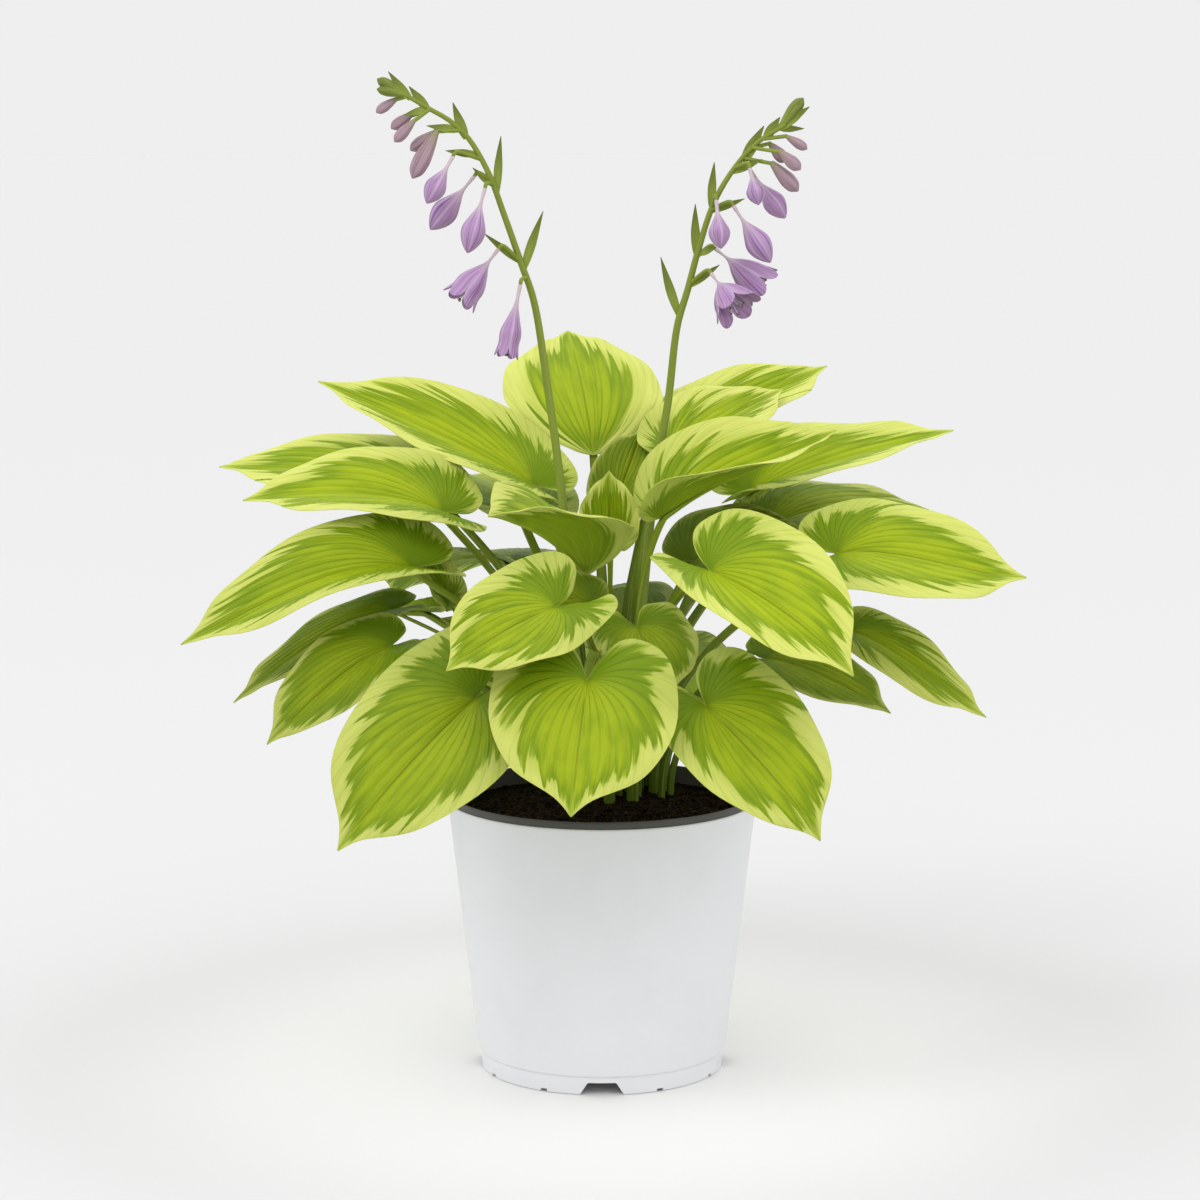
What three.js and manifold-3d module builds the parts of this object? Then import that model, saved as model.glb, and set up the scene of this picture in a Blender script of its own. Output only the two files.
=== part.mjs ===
// A variegated hosta in flower, standing in a two-layer nursery pot full of soil.
// Millimetres, +Z up. The origin is on the ground, under the middle of the plant and on the pot's axis.
// The front of the plant faces -Y. Every leaf is a channelled stalk that rises out of a hole in the soil
// and carries on under the blade as its midrib. Two flower stems lean out over the leaves.
import * as THREE from 'three';
import { mergeVertices } from 'three/addons/utils/BufferGeometryUtils.js';
import Module from 'manifold-3d';

const wasm = await Module();
wasm.setup();

// Driving sizes of the pot
const FIT_GAP = 0.3;
const ROUND_SIDES = 44;
const POT_TOP_RADIUS = 109.6;
const WALL_FOOT_RADIUS = 88.8;
const FOOT_RADIUS = 86.6;
const FOOT_HEIGHT = 13;
const FOOT_THICKNESS = 3;
const WALL_TOP = 193;
const RIM_TOP = 198;
const WHITE_WALL = 1.5;
const BLACK_WALL = 1.5;
const FLOOR_UNDERSIDE = 10.5;
const NOTCH = { top: 8.7, halfAtGround: 15.5, halfAtTop: 11.2, count: 4 };
const SLIT = { width: 5, height: 2, angle: THREE.MathUtils.degToRad(28) };
const DRAIN = { radius: 6, circle: 68, count: 4, sides: 10 };

// Driving sizes of the soil
const SOIL_EDGE = 186;
const SOIL_MOUND = 12;
const SOIL_GRAIN = 0.9;
const ROOT_DEPTH = 22;

// Driving sizes of the plant
const BLADE_THICKNESS = 1.1;
const LARGE_BLADE = { stations: [0.11, 0.25, 0.4, 0.56, 0.72, 0.87], ribs: 6 };
const SMALL_BLADE = { stations: [0.14, 0.36, 0.62, 0.86], ribs: 4, belowWidth: 72 };
const CROWN = { x: 8, y: 20 };
const STALK = { root: [8.6, 6.2], middle: [7.6, 5.4], neck: [6.4, 4.6], ribEnd: [1.6, 1.4] };
const STEM_RADIUS = [3.4, 1.5];
const HOLE_GAP = 0.35;

const colours = {
  white: new THREE.MeshStandardMaterial({ color: '#e9e9e8', roughness: 0.4, metalness: 0 }),
  black: new THREE.MeshStandardMaterial({ color: '#2b2b28', roughness: 0.55, metalness: 0 }),
  soil: new THREE.MeshStandardMaterial({ color: '#20150d', roughness: 1, metalness: 0 }),
  leaf: new THREE.MeshStandardMaterial({ color: '#8fb41f', roughness: 0.45, metalness: 0 }),
  stem: new THREE.MeshStandardMaterial({ color: '#8a9a3e', roughness: 0.5, metalness: 0 }),
  flower: new THREE.MeshStandardMaterial({ color: '#b294cc', roughness: 0.6, metalness: 0 }),
};

const part = new THREE.Group();
const vec = (x, y, z) => new THREE.Vector3(x, y, z);
const lerp = THREE.MathUtils.lerp;
const rad = THREE.MathUtils.degToRad;

// Turns a closed geometry into a solid for joining and cutting.
function solid(geometry) {
  const bare = geometry.index ? geometry.clone() : geometry;
  bare.deleteAttribute('normal');
  bare.deleteAttribute('uv');
  const merged = mergeVertices(bare, 1e-4);
  return new wasm.Manifold(new wasm.Mesh({
    numProp: 3,
    vertProperties: merged.attributes.position.array,
    triVerts: new Uint32Array(merged.index.array),
  }));
}

// Adds a solid to the part as a named mesh.
function addPiece(name, body, material) {
  const mesh = body.getMesh();
  const geometry = new THREE.BufferGeometry();
  geometry.setAttribute('position', new THREE.BufferAttribute(mesh.vertProperties, 3));
  geometry.setIndex(new THREE.BufferAttribute(mesh.triVerts, 1));
  const piece = new THREE.Mesh(geometry, material);
  piece.name = name;
  part.add(piece);
}

// A solid of revolution about Z from [radius, height] pairs that start and end on the axis.
function turned(profile, sides = ROUND_SIDES) {
  const points = profile.map(([r, z]) => new THREE.Vector2(r, z));
  return solid(new THREE.LatheGeometry(points, sides).rotateX(Math.PI / 2));
}

// A closed geometry through rings of equal length, each a list of points.
function loft(rings) {
  const sides = rings[0].length;
  const positions = rings.flat().flatMap((p) => [p.x, p.y, p.z]);
  const index = [];
  for (let row = 0; row + 1 < rings.length; row++) {
    for (let i = 0; i < sides; i++) {
      const a = row * sides + i;
      const b = row * sides + ((i + 1) % sides);
      index.push(a, b, b + sides, a, b + sides, a + sides);
    }
  }
  const last = (rings.length - 1) * sides;
  for (let i = 1; i + 1 < sides; i++) {
    index.push(0, i + 1, i);
    index.push(last, last + i, last + i + 1);
  }
  const geometry = new THREE.BufferGeometry();
  geometry.setAttribute('position', new THREE.Float32BufferAttribute(positions, 3));
  geometry.setIndex(index);
  return geometry;
}

// A ring of section points [across, up], set square to a direction, with its up side towards a given vector.
function ringAt(centre, direction, up, section) {
  const along = direction.clone().normalize();
  const upright = up.clone().addScaledVector(along, -up.dot(along)).normalize();
  const across = along.clone().cross(upright);
  return section.map(([x, y]) => centre.clone().addScaledVector(across, -x).addScaledVector(upright, y));
}

// An n-sided section of a given radius, with every second point drawn in by the waist.
function roundSection(radius, sides, waist = 1) {
  return Array.from({ length: sides }, (_, i) => {
    const angle = (2 * Math.PI * i) / sides;
    const r = radius * (i % 2 ? waist : 1);
    return [r * Math.cos(angle), r * Math.sin(angle)];
  });
}

// The channelled section of a leaf stalk: a groove on the upper side, round below.
function channelSection([width, height]) {
  const w = width / 2;
  const h = height / 2;
  return [[0, 0.15 * h], [-w, h], [-0.6 * w, -0.9 * h], [0.6 * w, -0.9 * h], [w, h]];
}

// The pot: a white outer layer with a notched foot, and a black inner layer that ends in the rim
const innerWhite = (z) => lerp(WALL_FOOT_RADIUS, POT_TOP_RADIUS, (z - FOOT_HEIGHT) / (WALL_TOP - FOOT_HEIGHT))
  - WHITE_WALL;
const outerBlack = (z) => innerWhite(z) - FIT_GAP;
const innerBlack = (z) => outerBlack(z) - BLACK_WALL;
const WHITE_FLOOR = FLOOR_UNDERSIDE + WHITE_WALL;
const BLACK_UNDERSIDE = WHITE_FLOOR + FIT_GAP;
const BLACK_FLOOR = BLACK_UNDERSIDE + BLACK_WALL;

// A prism on the ground that points outwards at an angle, for cutting the foot.
function footCutter(angle, outline) {
  const shape = new THREE.Shape(outline.map(([x, z]) => new THREE.Vector2(x, z)));
  const reach = 30;
  const prism = new THREE.ExtrudeGeometry(shape, { depth: reach, bevelEnabled: false });
  prism.rotateX(Math.PI / 2).translate(0, -(FOOT_RADIUS - reach / 2), 0).rotateZ(angle);
  return solid(prism);
}

function drainCutter(angle) {
  const drill = new THREE.CylinderGeometry(DRAIN.radius, DRAIN.radius, 12, DRAIN.sides);
  drill.rotateX(Math.PI / 2).translate(0, -DRAIN.circle, WHITE_FLOOR).rotateZ(angle);
  return solid(drill);
}

function whiteLayer() {
  const footInner = FOOT_RADIUS - FOOT_THICKNESS;
  let body = turned([
    [0, FLOOR_UNDERSIDE], [footInner, FLOOR_UNDERSIDE], [footInner, 0], [FOOT_RADIUS, 0],
    [FOOT_RADIUS + 0.4, FOOT_HEIGHT - 0.6], [WALL_FOOT_RADIUS, FOOT_HEIGHT + 0.8],
    [POT_TOP_RADIUS - 0.1, WALL_TOP - 1.6], [POT_TOP_RADIUS - 0.4, WALL_TOP - 0.5],
    [POT_TOP_RADIUS - 1.1, WALL_TOP], [innerWhite(WALL_TOP), WALL_TOP],
    [innerWhite(WHITE_FLOOR), WHITE_FLOOR], [0, WHITE_FLOOR],
  ]);
  for (let i = 0; i < NOTCH.count; i++) {
    const angle = (2 * Math.PI * i) / NOTCH.count;
    const { top, halfAtGround, halfAtTop } = NOTCH;
    body = body.subtract(footCutter(angle, [
      [-halfAtGround, -1], [halfAtGround, -1], [halfAtGround, 0], [halfAtTop, top], [-halfAtTop, top],
      [-halfAtGround, 0],
    ]));
    for (const side of [-1, 1]) {
      const half = SLIT.width / 2;
      const outline = [[-half, -1], [half, -1], [half, SLIT.height], [-half, SLIT.height]];
      body = body.subtract(footCutter(angle + side * SLIT.angle, outline));
    }
  }
  for (let i = 0; i < DRAIN.count; i++) {
    body = body.subtract(drainCutter((2 * Math.PI * i) / DRAIN.count));
  }
  return body;
}

function blackLayer() {
  const lipFoot = WALL_TOP + FIT_GAP;
  let body = turned([
    [0, BLACK_UNDERSIDE], [outerBlack(BLACK_UNDERSIDE), BLACK_UNDERSIDE], [outerBlack(lipFoot), lipFoot],
    [POT_TOP_RADIUS - 1.2, lipFoot], [POT_TOP_RADIUS - 1.6, RIM_TOP - 1], [POT_TOP_RADIUS - 2.4, RIM_TOP],
    [innerBlack(WALL_TOP) + 0.9, RIM_TOP], [innerBlack(WALL_TOP) + 0.2, RIM_TOP - 0.8],
    [innerBlack(BLACK_FLOOR), BLACK_FLOOR], [0, BLACK_FLOOR],
  ]);
  for (let i = 0; i < DRAIN.count; i++) {
    body = body.subtract(drainCutter((2 * Math.PI * i) / DRAIN.count));
  }
  return body;
}

// The soil's surface: a low mound with an uneven top.
const soilRadius = innerBlack(SOIL_EDGE) - 2 * FIT_GAP;
function soilHeight(x, y) {
  const r = Math.hypot(x, y) / soilRadius;
  const grain = Math.sin(x * 0.13 + 1) * Math.cos(y * 0.11) + Math.sin(x * 0.05 - y * 0.17);
  return SOIL_EDGE + SOIL_MOUND * (1 - r * r) ** 2 + SOIL_GRAIN * grain * (1 - r ** 4);
}

// The place of a stalk or flower stem on the crown, and the way from there to the crown's middle.
function crownSpot([radius, turn]) {
  const outward = vec(Math.cos(rad(turn)), Math.sin(rad(turn)), 0);
  const root = vec(CROWN.x, CROWN.y, 0).addScaledVector(outward, radius);
  root.z = soilHeight(root.x, root.y);
  return { root, inward: outward.negate() };
}

// The soil as a plug that fills the pot, with a plain hole for each stalk and flower stem.
function soilBody(standing) {
  const sides = 28;
  const bottom = BLACK_FLOOR + FIT_GAP;
  const ring = (radius, heightAt) => Array.from({ length: sides }, (_, i) => {
    const angle = (2 * Math.PI * i) / sides;
    const x = radius * Math.cos(angle);
    const y = radius * Math.sin(angle);
    return vec(x, y, heightAt(x, y));
  });
  const rings = [ring(innerBlack(bottom) - FIT_GAP, () => bottom)];
  for (const share of [1, 0.8, 0.56, 0.3]) rings.push(ring(soilRadius * share, soilHeight));
  let body = solid(loft(rings));
  for (const [spot, width, depth] of standing) {
    const { root, inward } = crownSpot(spot);
    const w = width / 2 + HOLE_GAP;
    const h = depth / 2 + HOLE_GAP;
    const section = [[-w, h], [-w, -h], [w, -h], [w, h]];
    const ends = [-ROOT_DEPTH, 8].map((z) => ringAt(root.clone().add(vec(0, 0, z)), vec(0, 0, 1), inward, section));
    body = body.subtract(solid(loft(ends)));
  }
  return body;
}

// Leaf outlines from the stalk to the tip: [share of the length, share of the half width].
const SLIM = [
  [0, 0], [-0.1, 0.22], [-0.09, 0.55], [0.05, 0.88], [0.28, 1], [0.54, 0.91], [0.76, 0.59], [0.9, 0.19], [1, 0],
];
const HEART = [
  [0, 0], [-0.24, 0.16], [-0.33, 0.46], [-0.22, 0.82], [0.08, 1], [0.38, 0.98], [0.68, 0.72], [0.88, 0.19], [1, 0],
];

// The outline of one leaf, between the slim one (0) and the heart (1).
function outlineCurve(heart) {
  const mix = (i, k) => lerp(SLIM[i][k], HEART[i][k], heart);
  return new THREE.SplineCurve(SLIM.map((_, i) => new THREE.Vector2(mix(i, 0), mix(i, 1))));
}

// The midrib's curve and its axes: across the blade, and out of its upper face.
function midrib(leaf) {
  const chord = leaf.tip.clone().sub(leaf.neck);
  const forward = chord.clone().normalize();
  const out = leaf.facing.clone().addScaledVector(forward, -leaf.facing.dot(forward)).normalize();
  const curve = new THREE.CubicBezierCurve3(
    leaf.neck,
    leaf.neck.clone().addScaledVector(chord, 0.3).addScaledVector(out, leaf.arch[0]),
    leaf.neck.clone().addScaledVector(chord, 0.7).addScaledVector(out, leaf.arch[1]),
    leaf.tip,
  );
  return { curve, across: forward.clone().cross(out), length: chord.length() };
}

// A point on the blade: t runs along each vein from the stalk to the tip, v from one margin to the other.
function bladePoint(leaf, t, v) {
  const { curve, across, length } = leaf.spine;
  const edge = leaf.outline.getPoint(t);
  const share = Math.abs(v);
  const along = lerp(t, edge.x, share);
  const outward = edge.y * share;
  const u = Math.max(along, 0);
  const forward = curve.getTangent(u);
  const turn = new THREE.Quaternion().setFromAxisAngle(forward, rad(leaf.twist) * u);
  const side = across.clone().applyQuaternion(turn);
  const out = side.clone().cross(forward);
  const fold = rad(leaf.fold) * (1.15 - 0.6 * along);
  const bend = rad(leaf.droop) + 1e-3;
  const half = leaf.width / 2;
  const reach = (half * (Math.sin(fold) - Math.sin(fold - bend * outward))) / bend;
  const rise = (half * (Math.cos(fold - bend * outward) - Math.cos(fold))) / bend;
  const ripple = leaf.wave * outward ** 2 * Math.sin(9 * t + leaf.phase + (v > 0 ? 1.9 : 0));
  const lobe = half * leaf.lift * leaf.heart * outward * Math.max(0, 0.28 - along) ** 2 * 3;
  const point = curve.getPoint(u).addScaledVector(forward, (along - u) * length);
  return point.addScaledVector(side, Math.sign(v) * reach).addScaledVector(out, rise + ripple + lobe);
}

// The way out of the blade's upper face at a point, from the points beside it.
function bladeNormal(leaf, t, v) {
  const step = 0.02;
  const inner = Math.min(Math.max(t, 0.04), 0.96);
  const alongVein = bladePoint(leaf, inner + step, v).sub(bladePoint(leaf, inner - step, v));
  const acrossVeins = bladePoint(leaf, inner, v + step).sub(bladePoint(leaf, inner, v - step));
  return acrossVeins.cross(alongVein).normalize();
}

// The blade as a closed sheet, split into the same triangles above and below.
function bladeGeometry(leaf) {
  const { stations, ribs } = leaf.width < SMALL_BLADE.belowWidth ? SMALL_BLADE : LARGE_BLADE;
  const steps = stations.length + 1;
  const top = [];
  const under = [];
  for (const t of stations) {
    for (let j = 0; j <= ribs; j++) {
      const v = (2 * j) / ribs - 1;
      const point = bladePoint(leaf, t, v);
      const normal = bladeNormal(leaf, t, v * 0.97);
      top.push(point.clone().addScaledVector(normal, BLADE_THICKNESS / 2));
      under.push(point.clone().addScaledVector(normal, -BLADE_THICKNESS / 2));
    }
  }
  for (const t of [0, 1]) {
    const normal = bladeNormal(leaf, t, 0);
    top.push(bladePoint(leaf, t, 0).addScaledVector(normal, BLADE_THICKNESS / 2));
    under.push(bladePoint(leaf, t, 0).addScaledVector(normal, -BLADE_THICKNESS / 2));
  }
  const row = ribs + 1;
  const neck = top.length - 2;
  const tip = top.length - 1;
  const below = top.length;
  const faces = [];
  for (let j = 0; j < ribs; j++) {
    const last = (steps - 2) * row + j;
    faces.push([neck, j, j + 1], [tip, last + 1, last]);
    for (let i = 0; i < steps - 2; i++) {
      const a = i * row + j;
      faces.push([a, a + row, a + row + 1], [a, a + row + 1, a + 1]);
    }
  }
  const margin = [neck];
  for (let i = 0; i < steps - 1; i++) margin.push(i * row);
  margin.push(tip);
  for (let i = steps - 2; i >= 0; i--) margin.push(i * row + ribs);
  const index = [];
  for (const [a, b, c] of faces) index.push(a, c, b, below + a, below + b, below + c);
  margin.forEach((a, i) => {
    const b = margin[(i + 1) % margin.length];
    index.push(a, b, below + b, a, below + b, below + a);
  });
  const geometry = new THREE.BufferGeometry();
  geometry.setAttribute('position', new THREE.Float32BufferAttribute(
    [...top, ...under].flatMap((p) => [p.x, p.y, p.z]), 3));
  geometry.setIndex(index);
  return geometry;
}

// The stalk from its hole in the soil to the blade, and on under the blade as the midrib.
function stalkGeometry(leaf) {
  const { root, inward } = leaf;
  const forward = leaf.spine.curve.getTangent(0);
  const out = leaf.spine.across.clone().cross(forward);
  const up = vec(0, 0, 1);
  const span = leaf.neck.clone().sub(root);
  const size = span.length();
  const arrive = span.clone().normalize().multiplyScalar(0.6).addScaledVector(forward, 0.4).normalize();
  const rise = new THREE.CubicBezierCurve3(
    root,
    root.clone().addScaledVector(up, size * 0.45),
    leaf.neck.clone().addScaledVector(arrive, -size * 0.3).addScaledVector(up, leaf.hook),
    leaf.neck.clone().addScaledVector(out, -STALK.neck[1] / 2),
  );
  const section = (pair) => channelSection(pair.map((measure) => measure * leaf.girth));
  const rings = [ringAt(root.clone().addScaledVector(up, 1 - ROOT_DEPTH), up, inward, section(STALK.root))];
  for (const [u, pair] of [[0, STALK.root], [0.27, STALK.middle], [0.52, STALK.middle], [0.78, STALK.neck]]) {
    const tangent = u === 0 ? up : rise.getTangent(u);
    const channelSide = up.clone().cross(inward).lerp(leaf.spine.across, u).cross(tangent);
    rings.push(ringAt(rise.getPoint(u), tangent, channelSide, section(pair)));
  }
  for (const [u, pair] of [[0.02, STALK.neck], [0.34, STALK.ribEnd]]) {
    const sunk = 0.02 * leaf.fold - pair[1] / 2;
    const centre = bladePoint(leaf, u, 0).addScaledVector(bladeNormal(leaf, u, 0), sunk);
    rings.push(ringAt(centre, leaf.spine.curve.getTangent(u), bladeNormal(leaf, u, 0), section(pair)));
  }
  return loft(rings);
}

// Each leaf: name, stalk hole on the crown as [radius, turn in degrees], neck where stalk meets blade, tip,
// the way the upper face looks, width, arch of the midrib near the neck and near the tip, fold of the two
// halves, droop of the margins, twist, wave of the margin, heart shape, hook of the stalk above the neck, and
// where it differs from most, the lift of the lobes beside the neck.
const LEAVES = [
  ['leaf_left_1', [20, 168], [-50, 60, 410], [-206, 85, 483], [3, -5, 9], 92, [8, 2], 28, 10, 0, 4, 0.2, 0],
  ['leaf_left_2', [31, 160], [-124, 68, 406], [-278, 80, 421], [0, -4, 9], 92, [12, 6], 20, 26, 0, 4, 0.2, 0],
  ['leaf_left_3', [31, 186], [-112, -4, 398], [-250, -26, 409], [1, -4, 9], 98, [18, 10], 28, 26, 0, 4, 0.4, 0],
  ['leaf_left_4', [31, 208], [-131, -56, 366], [-287, -92, 318], [1, -5, 9], 84, [34, 6], 32, 20, 0, 3, 0.4, 0],
  ['leaf_left_5', [42, 190], [-146, -10, 330], [-257, -42, 269], [2, -2, 9], 50, [18, 6], 24, 30, 0, 1, 0.2, 0],
  ['leaf_left_6', [42, 214], [-143, -88, 317], [-225, -134, 257], [-2, -7, 8], 66, [18, 6], 24, 24, 0, 1, 0.3, 0],
  ['leaf_left_7', [42, 240], [-83, -168, 294], [-171, -228, 205], [-2, -8, 6], 114, [12, 8], 20, 24, 0, 3, 0.9, 12],
  ['leaf_front_1', [31, 254], [-30, -160, 354], [-101, -212, 320], [0, -7, 8], 82, [10, 8], 14, 14, 0, 2, 0.8, 12, 0.8],
  ['leaf_front_2', [42, 266], [-10, -192, 311], [-20, -250, 232], [0, -8, 5], 122, [6, 8], 10, 22, 0, 1, 0.9, 40, 0.2],
  ['leaf_front_3', [31, 277], [24, -98, 331], [44, -146, 290], [2, -8, 5], 70, [8, 8], 14, 26, 0, 1, 0.8, 10],
  ['leaf_back_1', [20, 104], [-6, 92, 428], [-26, 180, 513], [1, -6, 6], 120, [14, 10], 12, 24, 0, 3, -1, 0],
  ['leaf_back_2', [9, 90], [10, 64, 396], [30, 88, 448], [0, -7, 5], 50, [4, 4], 20, 16, 0, 1, 0.3, 0],
  ['leaf_young_1', [20, 268], [-12, -46, 358], [-77, -100, 407], [9, 6, 5], 124, [12, 12], 57, 41, 0, 4, -0.8, 0],
  ['leaf_young_2', [9, 280], [5, 2, 374], [5, -8, 428], [0, -8, 2], 46, [6, 4], 26, 6, 0, 1, -0.4, 0],
  ['leaf_right_1', [20, 72], [58, 126, 440], [170, 188, 486], [-1, -5, 9], 76, [4, -2], 26, 16, 0, 3, 0.2, 0],
  ['leaf_right_2', [20, 40], [50, 74, 434], [134, 136, 473], [-1, -5, 9], 74, [4, 0], 26, 16, 0, 3, 0.2, 0],
  ['leaf_right_3', [20, 336], [41, -13, 395], [164, -4, 456], [-3, -2, 9], 94, [10, -5], 46, 8, 18, 4, -0.2, 0],
  ['leaf_right_4', [31, 20], [107, 62, 404], [256, 88, 447], [-2, -3, 9], 94, [8, 2], 28, 10, 0, 5, 0.2, 0],
  ['leaf_right_5', [31, 42], [122, 104, 374], [245, 150, 381], [0, -3, 9], 92, [18, 8], 22, 26, 0, 3, 0.2, 0],
  ['leaf_right_6', [31, 342], [163, -44, 374], [292, -62, 360], [1, -6, 8], 100, [18, -6], 18, 20, 0, 4, 0.5, 0],
  ['leaf_right_7', [20, 8], [64, 14, 361], [150, 30, 380], [1, -5, 8], 76, [12, 4], 22, 22, 0, 1, 0.3, 0],
  ['leaf_right_8', [31, 303], [72, -122, 373], [164, -192, 313], [1, -7, 8], 104, [14, 18], 30, 12, 0, 2, 0.45, 10, 0.4],
  ['leaf_right_9', [42, 350], [174, -18, 316], [266, -60, 262], [2, -6, 9], 54, [14, -2], 20, 26, 0, 2, 0.3, 0],
  ['leaf_right_10', [42, 326], [112, -66, 304], [195, -116, 275], [1, -5, 9], 62, [12, 6], 22, 26, 0, 1, 0.5, 0],
  ['leaf_right_11', [42, 290], [68, -162, 289], [142, -212, 208], [2, -7, 7], 104, [6, 12], 20, 16, 0, 2, 0.5, 16, 0.4],
  ['leaf_inner_1', [31, 230], [-70, -44, 300], [-112, -50, 330], [0, -4, 8], 46, [4, 4], 26, 16, 0, 1, 0.5, 0],
  ['leaf_inner_2', [20, 204], [-48, -26, 330], [-84, -18, 352], [0, -3, 8], 46, [6, 4], 30, 16, 0, 1, 0.5, 0],
  ['leaf_inner_3', [20, 56], [64, 72, 350], [88, 80, 382], [-4, -7, 4], 34, [4, 4], 34, 10, 0, 1, 0.3, 0],
  ['leaf_inner_4', [42, 202], [-108, -22, 340], [-128, -24, 374], [4, -8, 4], 32, [3, 3], 34, 10, 0, 1, 0.3, 0],
  ['leaf_inner_5', [20, 302], [-8, -64, 342], [-62, -74, 352], [0, -7, 6], 44, [6, 4], 20, 16, 0, 1, 0.5, 0],
  ['leaf_rear_1', [42, 90], [4, 132, 324], [2, 247, 258], [0, 5, 8], 112, [22, 16], 16, 40, 0, 2, 0.5, 0],
  ['leaf_rear_2', [31, 64], [84, 140, 340], [168, 244, 304], [2, 4, 9], 112, [22, 16], 20, 36, 0, 2, 0.4, 0],
  ['leaf_rear_3', [31, 124], [-70, 136, 344], [-165, 248, 300], [-2, 4, 9], 114, [22, 16], 20, 36, 0, 2, 0.5, 0],
  ['leaf_rear_4', [42, 28], [140, 80, 306], [256, 158, 250], [4, 3, 9], 104, [18, 14], 20, 36, 0, 2, 0.5, 0],
  ['leaf_rear_5', [42, 146], [-128, 98, 312], [-242, 176, 258], [-4, 3, 9], 106, [18, 14], 20, 36, 0, 2, 0.4, 0],
  ['leaf_rear_6', [42, 66], [52, 160, 272], [94, 250, 200], [3, 7, 5], 106, [14, 10], 14, 36, 0, 2, 0.9, 16],
  ['leaf_rear_7', [42, 112], [-52, 160, 270], [-100, 252, 202], [-3, 7, 5], 106, [14, 10], 14, 36, 0, 2, 0.9, 16],
  ['leaf_rear_8', [42, 168], [-138, 30, 290], [-226, 60, 236], [-6, 1, 8], 90, [16, 12], 18, 34, 0, 2, 0.5, 0],
  ['leaf_rear_9', [42, 8], [130, 26, 288], [200, 54, 256], [5, 1, 8], 74, [14, 12], 18, 34, 0, 2, 0.5, 0],
  ['leaf_rear_10', [20, 136], [-60, 114, 384], [-122, 224, 392], [-1, 3, 9], 102, [22, 16], 22, 30, 0, 2, 0.4, 0],
  ['leaf_rear_11', [31, 86], [34, 130, 388], [82, 238, 400], [1, 3, 9], 98, [22, 16], 22, 30, 0, 2, 0.4, 0],
];

// Stalks of small leaves are slimmer in step with the blade.
const girthOf = (width) => Math.min(1, width / 95);

function buildLeaf([name, spot, neck, tip, facing, width, arch, fold, droop, twist, wave, heart, hook, lift = 0.3], phase) {
  const leaf = {
    name, width, arch, fold, droop, twist, wave, heart, hook, lift, phase, girth: girthOf(width),
    neck: vec(...neck), tip: vec(...tip), facing: vec(...facing).normalize(), outline: outlineCurve(heart),
    ...crownSpot(spot),
  };
  leaf.spine = midrib(leaf);
  const body = solid(bladeGeometry(leaf)).add(solid(stalkGeometry(leaf)));
  addPiece(name, body, colours.leaf);
}

// A thin lance-shaped bract from its base to its tip, its flat side towards the front.
function bract(base, tip, width, thickness = 1.3) {
  const along = tip.clone().sub(base);
  const flat = vec(0, -1, 0.2);
  const rings = [[0, 0.5], [0.4, 1], [1, 0.16]].map(([u, share]) => {
    const w = (width * share) / 2;
    const h = Math.max(thickness * share, 0.7) / 2;
    return ringAt(base.clone().addScaledVector(along, u), along, flat, [[w, 0], [0, h], [-w, 0], [0, -h]]);
  });
  return solid(loft(rings));
}

// A round-bodied shape along a line through rings of [share of the length, radius].
function spindle(base, tip, stations, sides = 5) {
  const along = tip.clone().sub(base);
  const rings = stations.map(([u, radius]) => ringAt(
    base.clone().addScaledVector(along, u), along, vec(0.2, -1, 0.3), roundSection(radius, sides)));
  return solid(loft(rings));
}

const rod = (base, tip, radius) => spindle(base, tip, [[0, radius], [1, radius * 0.9]], 4);
const bud = (base, tip, width) => spindle(base, tip, [
  [0, 0.16 * width], [0.35, 0.4 * width], [0.7, 0.5 * width], [1, 0.16 * width],
]);

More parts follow.
